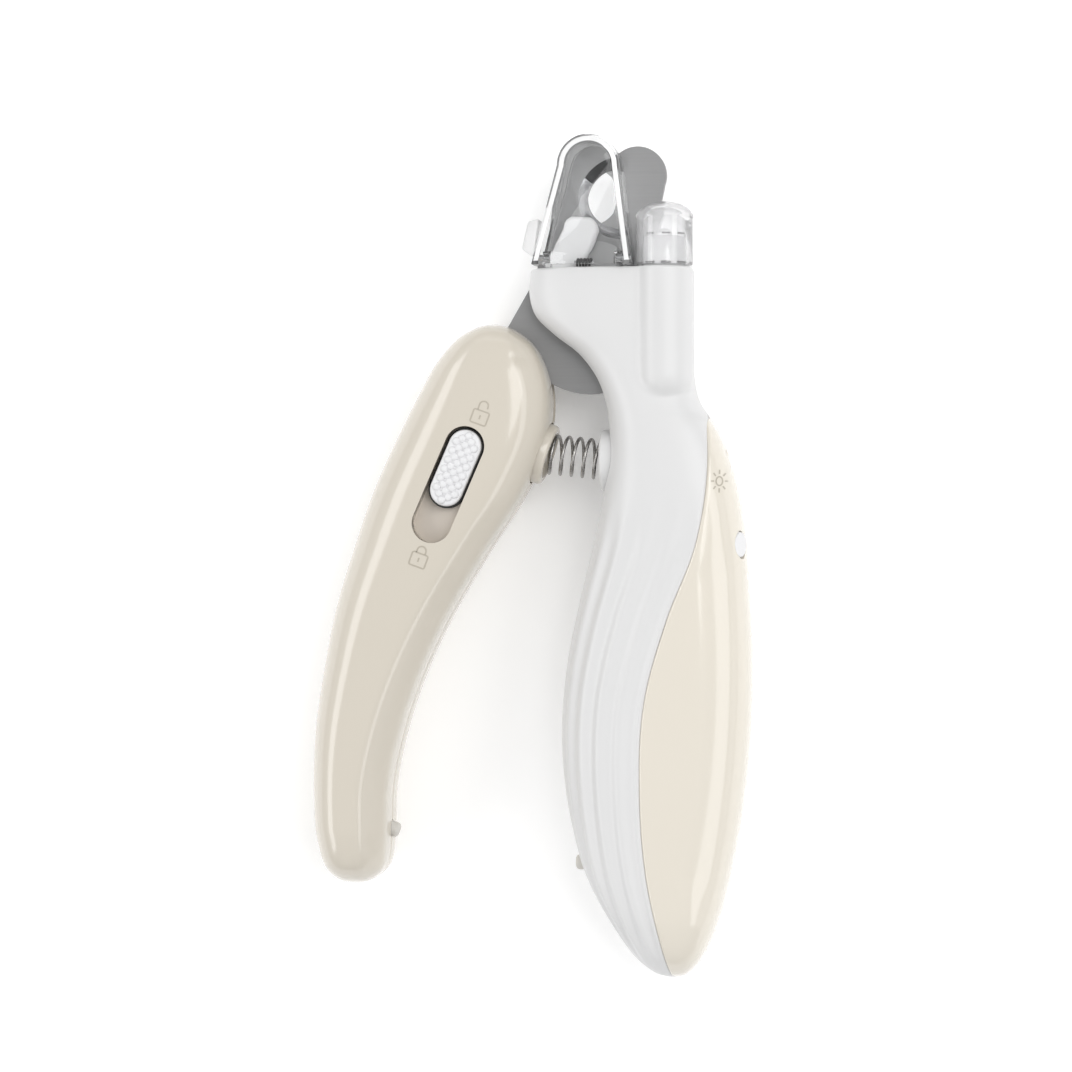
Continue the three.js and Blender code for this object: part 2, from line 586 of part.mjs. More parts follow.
const tab = outline([[-9.9, 16.4], [-7.6, 16.9], [-8.6, 9.9], [-11.0, 11.6]]);
const guardBody = solid(prism(guardOutline(0), guardLow, guardHigh, 12))
  .subtract(solid(prism(guardOutline(GUARD_WALL), 0, guardHigh - GUARD_WALL, 12)))
  .add(solid(prism(tab, guardLow + 2, guardHigh - 2)).subtract(
    solid(prism(guardOutline(GUARD_WALL), 0, guardHigh + 1, 12))))
  .subtract(solid(block(-12, 12, 0, HEAD_TOP + 3.2, guardPinZ - 0.6, guardHigh + 1)))
  .add(solid(bar(new THREE.Vector3(GUARD_LEFT, guardPinY, guardPinZ),
    new THREE.Vector3(GUARD_LEFT + GUARD_WALL, guardPinY, guardPinZ), GUARD_KNUCKLE_RADIUS - CLEARANCE)))
  .add(solid(bar(new THREE.Vector3(GUARD_RIGHT - GUARD_WALL, guardPinY, guardPinZ),
    new THREE.Vector3(GUARD_RIGHT, guardPinY, guardPinZ), GUARD_KNUCKLE_RADIUS - CLEARANCE)));
const pinStart = new THREE.Vector3(GUARD_LEFT - 0.6, guardPinY, guardPinZ);
const pinEnd = new THREE.Vector3(GUARD_RIGHT + 0.2, guardPinY, guardPinZ);
const pinHole = solid(bar(pinStart.clone().setX(-30), pinEnd.clone().setX(30), GUARD_PIN_RADIUS + 0.2, 16));
add('guard', guardBody.subtract(pinHole), clear());
add('guard_pin', bar(pinStart, pinEnd, GUARD_PIN_RADIUS, 12), steel());

const sleeve = solid(bar(new THREE.Vector3(-1.6, guardPinY, guardPinZ), new THREE.Vector3(1.4, guardPinY, guardPinZ),
  GUARD_PIN_RADIUS + 0.5, 16)).subtract(pinHole);
add('guard_spring', sleeve, steel());

/** The white finger that stops the claw, leaning right across the head's top. */
const fingerWidth = 5.3;
const finger = new THREE.Shape();
const fingerLean = THREE.MathUtils.degToRad(62);
const fingerFoot = new THREE.Vector2(-5.9, 3);
const fingerTip = new THREE.Vector2(-0.9, 15);
finger.absarc(fingerTip.x, fingerTip.y, fingerWidth / 2, fingerLean - Math.PI / 2, fingerLean + Math.PI / 2, false);
finger.absarc(fingerFoot.x, fingerFoot.y, fingerWidth / 2, fingerLean + Math.PI / 2, fingerLean - Math.PI / 2, false);
const stopLow = hubPlateLow + HUB_PLATE_THICKNESS + CLEARANCE;
const stopHigh = stopLow + 2.2;
const stop = solid(prism(finger, stopLow, stopHigh, 10))
  .subtract(solid(post(0, 0, BOLT_RADIUS + CLEARANCE * 2, 0, HANDLE_THICKNESS)))
  .subtract(solid(block(-30, 30, -30, HEAD_TOP - 2.6, 0, HANDLE_THICKNESS)));
add('nail_stop', stop, white());
const stopPocket = solid(block(-9.2, 1.6, HEAD_TOP - 2.9, guardPinY + 2, FORK_HIGH - 0.5, stopHigh + CLEARANCE));

// ---------------------------------------------------------------- grip shells

const gripSolid = solid(handleLoft(gripStations, 0, 27, SECTION_POWER)).add(barrel);
const handleCavity = solid(handleLoft(gripStations, WALL, 18, SECTION_POWER))
  .intersect(solid(block(-40, 60, down(97), down(20.5), -5, HANDLE_THICKNESS + 5)));
const lugs = [GUARD_LEFT + GUARD_WALL + LUG_INSET, GUARD_RIGHT - GUARD_WALL - LUG_INSET - LUG_WIDTH]
  .map((x) => solid(block(x, x + LUG_WIDTH, HEAD_TOP - 3, guardPinY + 1, MIDDLE + 5.5, HANDLE_THICKNESS)));

const movingSlot = outline([
  [-20, -14], [-20, HEAD_TOP + 1], [11.6, HEAD_TOP + 1], [11.6, 4], [6, -HUB_RADIUS], [-8, down(15)],
]);
const fixedSlot = outline([
  [-20, -14], [-20, HEAD_TOP + 1], [8.4, HEAD_TOP + 1], [9.6, 0], [14.3, down(18.6)], [14.3, down(21)],
  [4, down(21)], [-8, down(15)],
]);
const fork = solid(prism(movingSlot, FORK_LOW, MIDDLE + 0.01))
  .add(solid(post(0, 0, DISC_RADIUS + CLEARANCE, FORK_LOW, MIDDLE + 0.01, 40)))
  .add(solid(prism(fixedSlot, MIDDLE, FORK_HIGH)));

const doorHole = solid(post(cellX, cellY, DOOR_RADIUS + CLEARANCE, -1, WALL + 3, 32));
const doorRim = solid(post(cellX, cellY, DOOR_RADIUS + WALL, 0.4, WALL + 1.6, 32));
const gripBosses = screwBosses('grip');
const gripHoles = pivotHole.add(barrelBore).add(fork).add(stopPocket).add(pinHole)
  .add(springBossHole(gripSeat, gripSeatWay))
  .add(solid(bumper(gripBumperTip, gripBumperWay, CLEARANCE)))
  .add(gripBosses.holes);
const hollowGrip = gripSolid.add(lugs[0]).add(lugs[1])
  .subtract(handleCavity)
  .add(gripBosses.seats.intersect(gripSolid))
  .subtract(gripHoles);

const FRONT = solid(block(-80, 80, -200, 60, MIDDLE + SEAM_GAP / 2, 60));
const BACK = solid(block(-80, 80, -200, 60, -60, MIDDLE - SEAM_GAP / 2));
const seamHalf = SEAM_GAP / 2;
const frontBeyond = (offset) => solid(prism(beyond(frontSeam, offset), MIDDLE, 60));
const backBeyond = (offset) => solid(prism(beyond(backSeam, offset), -60, MIDDLE));

add('grip_front_shell', hollowGrip.intersect(FRONT).subtract(frontBeyond(-seamHalf)), white());
add('grip_back_shell', hollowGrip.intersect(BACK).subtract(backBeyond(-seamHalf))
  .add(doorRim).subtract(doorHole), white());
add('grip_cover', hollowGrip.intersect(frontBeyond(seamHalf).add(backBeyond(seamHalf))).subtract(buttonHole),
  cream());
add('grip_spring_boss', springBoss(gripSeat, gripSeatWay), white());

// ---------------------------------------------------------------- lever shells and lock

const slotTop = new THREE.Vector2(-20.9, down(19.8));
const slotWay = new THREE.Vector2(-0.398, -0.917);
const slotPoint = (distance) => slotTop.clone().addScaledVector(slotWay, distance);
const slotAngle = Math.atan2(slotWay.y, slotWay.x);

/** A round-ended bar lying along the slot, from one distance to another. */
function alongSlot(from, to, radius) {
  const start = slotPoint(from);
  const end = slotPoint(to);
  const shape = new THREE.Shape();
  shape.absarc(end.x, end.y, radius, slotAngle - Math.PI / 2, slotAngle + Math.PI / 2, false);
  shape.absarc(start.x, start.y, radius, slotAngle + Math.PI / 2, slotAngle + Math.PI * 1.5, false);
  return shape;
}

const slotFloor = HANDLE_THICKNESS - WALL * 1.6;
const plateThickness = 1;
const sliderLength = SLOT_LENGTH - LOCK_TRAVEL;
const slotOpening = solid(prism(alongSlot(0, SLOT_LENGTH, SLOT_RADIUS), slotFloor - 4, 60, 12));
const plateSlit = solid(prism(alongSlot(0, SLOT_LENGTH, 1.2), 0, 60, 8));
const platePlace = alongSlot(-1.5, SLOT_LENGTH + 1.5, SLOT_RADIUS + 1.2);
add('slot_plate', solid(prism(platePlace, slotFloor - plateThickness, slotFloor)).subtract(plateSlit), taupe());
const platePocket = solid(prism(alongSlot(-1.5, SLOT_LENGTH + 1.5, SLOT_RADIUS + 1.2 + CLEARANCE),
  slotFloor - plateThickness - 3.5, slotFloor + CLEARANCE));

const carriageLow = slotFloor + CLEARANCE;
const carriageHigh = carriageLow + 1;
const boltLow = slotFloor - plateThickness - CLEARANCE - 1.2;
const carriage = solid(prism(alongSlot(0, sliderLength, SLIDER_RADIUS + 0.2), carriageLow, carriageHigh, 10))
  .add(solid(prism(alongSlot(2, sliderLength - 2, 0.8), boltLow + 0.9, carriageHigh, 6)));
add('lock_carriage', carriage, black());
const sliderShape = alongSlot(0, sliderLength, SLIDER_RADIUS - 0.35);
add('lock_slider', prism(sliderShape, carriageHigh + 0.1, HANDLE_THICKNESS - 0.1, 10), white());
add('lock_bolt', solid(prism(alongSlot(-3, sliderLength, 2.4), boltLow - 0.4, boltLow + 0.6)), steel());

const leverSolid = solid(handleLoft(leverStations, 0, 24, SECTION_POWER));
const leverCavity = solid(handleLoft(leverStations, WALL, 15, SECTION_POWER));
const tangSlot = outline([
  [-26, 6], [4, 6], [6, down(12)], [-10.2, down(17)], [-12, down(14)], [-22, down(4)],
]);
const leverMouth = solid(prism(tangSlot, FORK_LOW, FORK_HIGH));
const leverBosses = screwBosses('lever');
const hollowLever = leverSolid.subtract(leverCavity)
  .add(leverBosses.seats.intersect(leverSolid))
  .subtract(leverMouth)
  .subtract(springBossHole(leverSeat, leverSeatWay))
  .subtract(solid(bumper(leverBumperTip, leverBumperWay, CLEARANCE)))
  .subtract(leverBosses.holes)
  .subtract(slotOpening)
  .subtract(platePocket);
add('lever_front_shell', hollowLever.intersect(FRONT), cream());
add('lever_back_shell', hollowLever.intersect(BACK), cream());
add('lever_spring_boss', springBoss(leverSeat, leverSeatWay), cream());

// ---------------------------------------------------------------- coil and screws

const coilStart = leverSeat.clone().addScaledVector(leverSeatWay, -SEAT_DEPTH + WIRE_RADIUS + CLEARANCE);
const coilEnd = gripSeat.clone().addScaledVector(gripSeatWay, -SEAT_DEPTH + WIRE_RADIUS + CLEARANCE);
const wire = new THREE.Shape();
wire.absarc(0, 0, WIRE_RADIUS, 0, 2 * Math.PI, false);
add('return_spring', new THREE.ExtrudeGeometry(wire, {
  steps: SPRING_TURNS * 12,
  curveSegments: 3,
  bevelEnabled: false,
  extrudePath: new Coil(coilStart, coilEnd, SPRING_RADIUS, SPRING_TURNS),
}), steel());

for (const [name, [x, y]] of Object.entries(screws)) {
  add(name, screw(), steel(), [x, y, SCREW_HEAD_HEIGHT]);
}

export default group;
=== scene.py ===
# %% [markdown]
# # A pliers-type pet nail trimmer
#
# The tool lies on its back on a pale table: X to the right, Y toward the blades, Z up toward the viewer.
# A white grip with long flutes carries a fixed blade, a lamp and a clear guard. A glossy cream lever turns
# on the pivot and carries the moving blade, and a coil spring pushes the two handles apart.
# The frame from the mechanical model says where every piece is, so nothing here is moved into place.

# %% Load the frame
import math

import bmesh
import bpy
import numpy as np
from mathutils import Matrix, Vector
from mathutils.bvhtree import BVHTree


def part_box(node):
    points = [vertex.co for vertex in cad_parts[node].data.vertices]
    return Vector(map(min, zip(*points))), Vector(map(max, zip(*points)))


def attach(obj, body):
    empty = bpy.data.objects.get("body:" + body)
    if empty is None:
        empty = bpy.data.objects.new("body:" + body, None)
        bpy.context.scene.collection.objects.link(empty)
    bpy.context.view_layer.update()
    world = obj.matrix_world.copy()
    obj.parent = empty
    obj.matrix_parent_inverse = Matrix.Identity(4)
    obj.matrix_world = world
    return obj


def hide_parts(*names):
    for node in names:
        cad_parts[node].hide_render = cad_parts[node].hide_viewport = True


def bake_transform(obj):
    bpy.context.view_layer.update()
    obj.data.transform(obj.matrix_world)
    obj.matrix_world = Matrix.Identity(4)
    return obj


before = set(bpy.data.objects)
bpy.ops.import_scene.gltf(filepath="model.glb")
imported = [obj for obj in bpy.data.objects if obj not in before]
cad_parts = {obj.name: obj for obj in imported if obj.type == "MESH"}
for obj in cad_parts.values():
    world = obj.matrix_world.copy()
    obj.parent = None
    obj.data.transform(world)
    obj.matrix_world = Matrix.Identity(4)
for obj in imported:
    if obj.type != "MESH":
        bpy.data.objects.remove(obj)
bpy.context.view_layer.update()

MM = 0.001

# %% [markdown]
# ## Sizes that the whole tool shares
#
# Everything is worked out in millimetres and made into metres at the last moment. The main levels come from
# the frame's boxes, so the visible shells meet the same middle plane as the mechanical ones.

# %% Shared sizes


def box_mm(node):
    """The lowest and highest corner of a node, in millimetres, as plain arrays."""
    low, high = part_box(node)
    return np.array(low) / MM, np.array(high) / MM


REACH = -box_mm("grip_front_shell")[0][1]
HEAD_TOP = box_mm("grip_back_shell")[1][1]
THICKNESS = box_mm("lever_front_shell")[1][2]
MIDDLE = THICKNESS / 2
HALF_HEAD = 8.5
FIXED_LOW, FIXED_HIGH = box_mm("fixed_blade")[0][2], box_mm("fixed_blade")[1][2]
MOVING_LOW, MOVING_HIGH = box_mm("moving_blade")[0][2], box_mm("moving_blade")[1][2]
CLOSE_ANGLE = math.radians(18.7)


def down(percent):
    """Y of a station, in percent of the reach from the pivot to the grip's tip."""
    return -REACH * percent / 100


print(f"reach {REACH:.1f}, head top {HEAD_TOP:.1f}, thickness {THICKNESS:.1f} mm")

# %% [markdown]
# ## Small mesh helpers
#
# Every piece is a plain mesh in metres with its place in its vertices. One helper makes the object, one
# applies its modifiers, one cuts with a boolean, and one shades it: smooth everywhere, sharp where two
# faces meet steeply. Keeping these apart lets each piece below read like a short recipe.

# %% Mesh helpers


def make_piece(name, vertices_mm, faces):
    """A mesh object from vertices in millimetres, with its normals turned outward."""
    mesh = bpy.data.meshes.new(name)
    mesh.from_pydata([tuple(c * MM for c in v) for v in vertices_mm], [], [tuple(f) for f in faces])
    body = bmesh.new()
    body.from_mesh(mesh)
    bmesh.ops.remove_doubles(body, verts=body.verts, dist=1e-7)
    bmesh.ops.dissolve_degenerate(body, edges=body.edges, dist=1e-8)
    bmesh.ops.recalc_face_normals(body, faces=body.faces)
    body.to_mesh(mesh)
    body.free()
    piece = bpy.data.objects.new(name, mesh)
    bpy.context.scene.collection.objects.link(piece)
    return piece


def apply_modifiers(piece):
    """Replaces the piece's mesh with what its modifiers make."""
    depsgraph = bpy.context.evaluated_depsgraph_get()
    mesh = bpy.data.meshes.new_from_object(piece.evaluated_get(depsgraph))
    piece.modifiers.clear()
    mesh.name = piece.name
    piece.data = mesh
    return piece


def combine(piece, others, operation="DIFFERENCE"):
    """Cuts other pieces away from this one, or joins them to it, and removes them."""
    for other in others:
        modifier = piece.modifiers.new(operation.title(), "BOOLEAN")
        modifier.operation = operation
        modifier.solver = "EXACT"
        modifier.object = other
    apply_modifiers(piece)
    for other in others:
        bpy.data.objects.remove(other)
    return piece


def soften(piece, width_mm, segments=3, angle=35):
    """Rounds every edge that is sharper than an angle."""
    bevel = piece.modifiers.new("Rounded edges", "BEVEL")
    bevel.width = width_mm * MM
    bevel.segments = segments
    bevel.limit_method = "ANGLE"
    bevel.angle_limit = math.radians(angle)
    bevel.use_clamp_overlap = True
    return apply_modifiers(piece)


def shade(piece, angle=38):
    """Smooth shading that breaks at steep edges."""
    for polygon in piece.data.polygons:
        polygon.use_smooth = True
    piece.data.set_sharp_from_angle(angle=math.radians(angle))
    return piece


def finish_piece(piece, material, body, *nodes, slot=None, angle=38):
    """Gives a finished piece its material, its body and the mechanical nodes that it stands for."""
    piece.data.materials.clear()
    piece.data.materials.append(material)
    shade(piece, angle)
    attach(piece, body)
    if nodes:
        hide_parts(*nodes)
    return piece


# %% [markdown]
# ## Simple solids
#
# Prisms and turned shapes cover the blades, bosses, screws and lamp. A prism is an outline lifted between
# two levels; a turned shape is a profile spun about a line. Both are written as vertex loops because a loop
# can be read and changed by its numbers, which is how a toolmaker would draw them.

# %% Prisms and turned shapes


def prism(name, outline, low, high):
    """An outline, as (x, y) pairs, lifted from one level to another."""
    count = len(outline)
    vertices = [(x, y, low) for x, y in outline] + [(x, y, high) for x, y in outline]
    faces = [list(range(count)), list(range(2 * count - 1, count - 1, -1))]
    faces += [(i, (i + 1) % count, (i + 1) % count + count, i + count) for i in range(count)]
    return make_piece(name, vertices, faces)


def arc(centre, radius, start_degrees, end_degrees, steps=24):
    """Points on an arc, both ends included."""
    angles = np.radians(np.linspace(start_degrees, end_degrees, steps + 1))
    return [(centre[0] + radius * math.cos(a), centre[1] + radius * math.sin(a)) for a in angles]


def turned(name, profile, start, way, segments=64):
    """A closed (radius, distance) profile turned about a line from start along way."""
    way = np.array(way, float) / np.linalg.norm(way)
    helper = np.array([0, 0, 1.0]) if abs(way[2]) < 0.9 else np.array([1.0, 0, 0])
    side = np.cross(way, helper)
    side /= np.linalg.norm(side)
    up = np.cross(way, side)
    vertices = []
    for step in range(segments):
        angle = 2 * math.pi * step / segments
        out = side * math.cos(angle) + up * math.sin(angle)
        vertices += [np.array(start) + way * distance + out * radius for radius, distance in profile]
    count = len(profile)
    faces = []
    for step in range(segments):
        here, there = step * count, (step + 1) % segments * count
        for k in range(count):
            after = (k + 1) % count
            if profile[k][0] < 1e-6 and profile[after][0] < 1e-6:
                continue
            faces.append((here + k, here + after, there + after, there + k))
    return make_piece(name, vertices, faces)


def rod(name, start, end, radius, segments=64):
    """A plain round bar between two points."""
    length = float(np.linalg.norm(np.array(end) - np.array(start)))
    return turned(name, [(0, 0), (radius, 0), (radius, length), (0, length)], start,
                  np.array(end) - np.array(start), segments)


def post(name, x, y, radius, low, high, segments=64):
    """A round bar that stands on the table plane."""
    return rod(name, (x, y, low), (x, y, high), radius, segments)


def slab(name, x0, x1, y0, y1, z0, z1):
    """A box between two corners."""
    return prism(name, [(x0, y0), (x1, y0), (x1, y1), (x0, y1)], z0, z1)


# %% [markdown]
# ## The handles' surface
#
# Both handles are lofts: at each station a left and a right edge and a thickness are chosen, and the
# section between them is a superellipse, which is flatter on its face than an ellipse and rounder than a
# box. A smooth curve through the stations gives as many rings as are needed. Polar radii about each
# section's centre make it easy to press in a parting groove or a row of flutes, because both are only small
# changes of radius.

# %% Stations of the two handles
GRIP_STATIONS = [  # left x, right x, y, half thickness
    (-10.7, 18.5, HEAD_TOP, HALF_HEAD),
    (-11.0, 18.5, 4.5, HALF_HEAD),
    (-10.0, 18.5, 0.4, HALF_HEAD),
    (-6.4, 18.5, down(2.8), HALF_HEAD),
    (-1.8, 18.5, down(5.8), HALF_HEAD),
    (1.4, 18.6, down(9.4), HALF_HEAD * 1.02),
    (2.9, 19.4, down(12.6), HALF_HEAD * 1.06),
    (3.7, 22.7, down(17), MIDDLE * 0.9),
    (3.2, 25.9, down(24.3), MIDDLE * 0.98),
    (1.6, 27.5, down(31.6), MIDDLE),
    (-1.4, 28.5, down(42.2), MIDDLE),
    (-4.0, 29.0, down(53.3), MIDDLE),
    (-4.8, 28.5, down(65), MIDDLE),
    (-3.4, 27.1, down(75.5), MIDDLE),
    (0.0, 24.8, down(85.6), MIDDLE),
    (4.5, 22.6, down(92.4), MIDDLE * 0.93),
    (8.4, 20.3, down(96.9), MIDDLE * 0.72),
    (11.6, 18.0, down(99.15), MIDDLE * 0.42),
    (14.0, 16.2, down(100), MIDDLE * 0.06),
]
LEVER_STATIONS = [  # outer x, y, inner x, y, half thickness
    (-17.6, down(1.05), -16.4, down(1.05), MIDDLE * 0.12),
    (-20.2, down(1.7), -13.2, down(1.95), MIDDLE * 0.62),
    (-23.4, down(3.2), -10.2, down(3.9), MIDDLE * 0.8),
    (-27.2, down(6.8), -7.9, down(7.2), MIDDLE * 0.9),
    (-30.3, down(11.4), -6.6, down(11.4), MIDDLE * 0.95),
    (-33.8, down(17.2), -6.9, down(17.2), MIDDLE * 0.985),
    (-38.7, down(26.3), -11.2, down(26.3), MIDDLE),
    (-42.4, down(35.4), -18.0, down(35.4), MIDDLE),
    (-45.6, down(44.5), -24.4, down(44.5), MIDDLE),
    (-47.7, down(53.7), -29.6, down(53.7), MIDDLE),
    (-49.2, down(62.8), -33.3, down(62.8), MIDDLE),
    (-49.5, down(71.9), -35.5, down(71.9), MIDDLE),
    (-48.9, down(79.4), -35.8, down(79.4), MIDDLE * 0.97),
    (-47.4, down(83.8), -36.6, down(83.8), MIDDLE * 0.78),
    (-45.2, down(85.7), -38.9, down(85.7), MIDDLE * 0.45),
    (-43.2, down(86.3), -40.9, down(86.3), MIDDLE * 0.12),
]


def smooth_through(points, places):
    """A smooth curve through points, read at places counted in points: 0 is the first, 1 the second."""
    points = np.array(points, float)
    last = len(points) - 1
    gaps = np.linalg.norm(np.diff(points, axis=0), axis=1)
    slopes = np.diff(points, axis=0) / gaps[:, None]
    inner = (slopes[:-1] * gaps[1:, None] + slopes[1:] * gaps[:-1, None]) / (gaps[:-1] + gaps[1:])[:, None]
    slopes = np.concatenate([slopes[:1], inner, slopes[-1:]])
    result = []
    for place in places:
        k = min(int(place), last - 1)
        w = place - k
        p1, p2 = points[k], points[k + 1]
        v0, v1 = slopes[k] * gaps[k], slopes[k + 1] * gaps[k]
        cubic = (2 * p1 - 2 * p2 + v0 + v1) * w**3
        square = (-3 * p1 + 3 * p2 - 2 * v0 - v1) * w**2
        result.append(cubic + square + v0 * w + p1)
    return np.array(result)


print(f"{len(GRIP_STATIONS)} stations on the grip, {len(LEVER_STATIONS)} on the lever")

# %% The ring class


LAMP_X, LAMP_Z, LAMP_RADIUS = 13.9, 5.5, 5.0
BARREL_END = HEAD_TOP - 24
BLEND = 0.8


class Ring:
    """One section of a handle, described by its radius about its own centre."""

    def __init__(self, left, right, half, powers, barrel=0.0, crease=0.0, drop=0.4):
        left, right = np.array(left, float), np.array(right, float)
        self.centre = (left + right) / 2
        self.width = max(float(np.linalg.norm(right - left)) / 2, 1e-3)
        self.across = (right - left) / 2 / self.width
        self.half = max(min(half, MIDDLE), 1e-3)
        self.powers = powers
        self.barrel = barrel
        self.crease = min(crease, self.width * 0.6)
        self.drop = drop

    def field(self, x, z):
        """Below zero inside the section, above zero outside it, with the lamp barrel melted in."""
        power = np.where(x > 0, self.powers[1], self.powers[0])
        size = min(self.width, self.half)
        ratio = (np.abs(x / self.width) ** power + np.abs(z / self.half) ** power) ** (1 / power)
        section = (ratio - 1) * size
        if self.barrel <= 0:
            return section
        barrel = np.hypot(x - (LAMP_X - self.centre[0]), z - LAMP_Z) - self.barrel
        blend = BLEND * min(1.0, self.barrel / LAMP_RADIUS + 0.2)
        share = np.clip(blend - np.abs(section - barrel), 0, None) / blend
        return np.minimum(section, barrel) - share**2 * blend / 4

    def radius(self, angle):
        """Distance from the centre to the surface in each direction."""
        cosine, sine = np.cos(angle), np.sin(angle)
        power = np.where(cosine > 0, self.powers[1], self.powers[0])
        plain = (np.abs(cosine / self.width) ** power + np.abs(sine / self.half) ** power) ** (-1 / power)
        if self.crease > 0:
            slope_x, slope_z = self.half * self.drop, self.crease
            reach = slope_x * (self.width - self.crease) + slope_z * self.half
            facing = slope_x * cosine + slope_z * sine
            flat = np.where((facing > 1e-4) & (sine > 0), reach / np.maximum(facing, 1e-4), 1e6)
            share = np.clip(0.9 - np.abs(plain - flat), 0, None) / 0.9
            plain = np.minimum(plain, flat) - share**2 * 0.9 / 4
        if self.barrel <= 0:
            return plain
        tries = np.linspace(0.6, 1.6, 160)[None, :] * plain[:, None]
        values = self.field(tries * cosine[:, None], tries * sine[:, None])
        inside = values < 0
        last = tries.shape[1] - 1 - np.argmax(inside[:, ::-1], axis=1)
        low = tries[np.arange(len(angle)), last]
        high = tries[np.arange(len(angle)), np.minimum(last + 1, tries.shape[1] - 1)]
        for _ in range(18):
            middle = (low + high) / 2
            within = self.field(middle * cosine, middle * sine) < 0
            low, high = np.where(within, middle, low), np.where(within, high, middle)
        return (low + high) / 2

    def place(self, angle, radius):
        """Points in the tool's frame."""
        x, z = radius * np.cos(angle), radius * np.sin(angle)
        place_x, place_y = (self.centre[k] + self.across[k] * x for k in (0, 1))
        return np.stack([place_x, place_y, MIDDLE + z], -1)


# %% [markdown]
# ## From rings to a moulded shell
#
# A shell is one sector of all the rings: an outer skin, an inner skin a wall thickness further in, and side
# walls where the sector ends. Samples crowd toward the sector's edges, where the surface rolls in by a few
# tenths of a millimetre. Two shells that meet there leave the fine shadow line of a real mould parting.

# %% Shell builder
EDGE_STEPS = [0.03, 0.10, 0.20, 0.34, 0.52]
ROLL_WIDTH = 0.5


def sector(ring, start, end, count, roll, change=None, wall=2.0):
    """Outer and inner points of one ring between two angles."""
    dense = np.linspace(start, end, 240)
    radius = ring.radius(dense)
    flat = np.stack([radius * np.cos(dense), radius * np.sin(dense)], -1)
    length = np.concatenate([[0], np.cumsum(np.linalg.norm(np.diff(flat, axis=0), axis=1))])
    total = max(length[-1], 1e-4)
    steps = np.array(EDGE_STEPS) * min(1.0, total / 4)
    inner_count = count - 2 * len(steps)
    middle = np.linspace(steps[-1], total - steps[-1], inner_count + 2)[1:-1]
    along = np.concatenate([steps, middle, total - steps[::-1]])
    angle = np.interp(along, length, dense)
    radius = ring.radius(angle)
    edge = np.minimum(along, total - along)
    width = ROLL_WIDTH * min(1.0, total / 4)
    rolled = roll * min(1.0, total / 8) * np.clip(1 - edge / width, 0, 1) ** 2
    outer = radius - np.minimum(rolled, radius * 0.5)
    if change is not None:
        outer = outer + change(along / total, total)
    inner = np.maximum(outer * 0.12, outer - wall)
    return ring.place(angle, outer), ring.place(angle, inner)


def shell(name, outer, inner):
    """A closed body between an outer and an inner grid of points."""
    rows, columns = outer.shape[:2]
    vertices = np.concatenate([outer.reshape(-1, 3), inner.reshape(-1, 3)])
    size = rows * columns
    faces = []
    for row in range(rows - 1):
        base = row * columns
        for column in range(columns - 1):
            a = base + column
            faces.append((a, a + 1, a + columns + 1, a + columns))
            faces.append((size + a, size + a + columns, size + a + columns + 1, size + a + 1))
        first, last = base, base + columns - 1
        faces.append((first, first + columns, size + first + columns, size + first))
        faces.append((last, size + last, size + last + columns, last + columns))
    bottom = (rows - 1) * columns
    for column in range(columns - 1):
        faces.append((column, size + column, size + column + 1, column + 1))
        low = bottom + column
        faces.append((low, low + 1, size + low + 1, size + low))
    return make_piece(name, vertices, faces)


print("shell builder ready")

# %% [markdown]
# ## Finishes shared by several materials
#
# Moulded plastic is never one flat tone: the colour drifts a little, the gloss varies from handling, and
# the surface has a very fine texture. Ground steel has long fine scratches in one direction. Each of these
# effects is a node group with its own inputs, built once, so that every plastic or metal below differs only
# by its numbers.

# %% Node group helpers


def new_group(name, inputs, outputs):
    """An empty shader node group with named sockets, and its input and output nodes."""
    group = bpy.data.node_groups.new(name, "ShaderNodeTree")
    for socket, kind, value in inputs:
        made = group.interface.new_socket(socket, in_out="INPUT", socket_type=kind)
        made.default_value = value
    for socket, kind in outputs:
        group.interface.new_socket(socket, in_out="OUTPUT", socket_type=kind)
    return group, group.nodes.new("NodeGroupInput"), group.nodes.new("NodeGroupOutput")


def put(tree, kind, **settings):
    """A node with its properties set, and its inputs where a name matches one."""
    node = tree.nodes.new(kind)
    for key, value in settings.items():
        if key in node.inputs:
            node.inputs[key].default_value = value
        else:
            setattr(node, key, value)
    return node


def noise_at(tree, position, scale, detail=3.0, roughness=0.55):
    """A noise texture read at a position."""
    node = put(tree, "ShaderNodeTexNoise", Scale=scale, Detail=detail, Roughness=roughness)
    tree.links.new(position, node.inputs["Vector"])
    return node.outputs["Fac"]


def remap(tree, value, low, high):
    """A 0 to 1 value stretched between two others, which may be numbers or sockets."""
    node = put(tree, "ShaderNodeMapRange")
    tree.links.new(value, node.inputs["Value"])
    for socket, limit in (("To Min", low), ("To Max", high)):
        if isinstance(limit, (int, float)):
            node.inputs[socket].default_value = limit
        else:
            tree.links.new(limit, node.inputs[socket])
    return node.outputs["Result"]


# %% Moulded plastic group


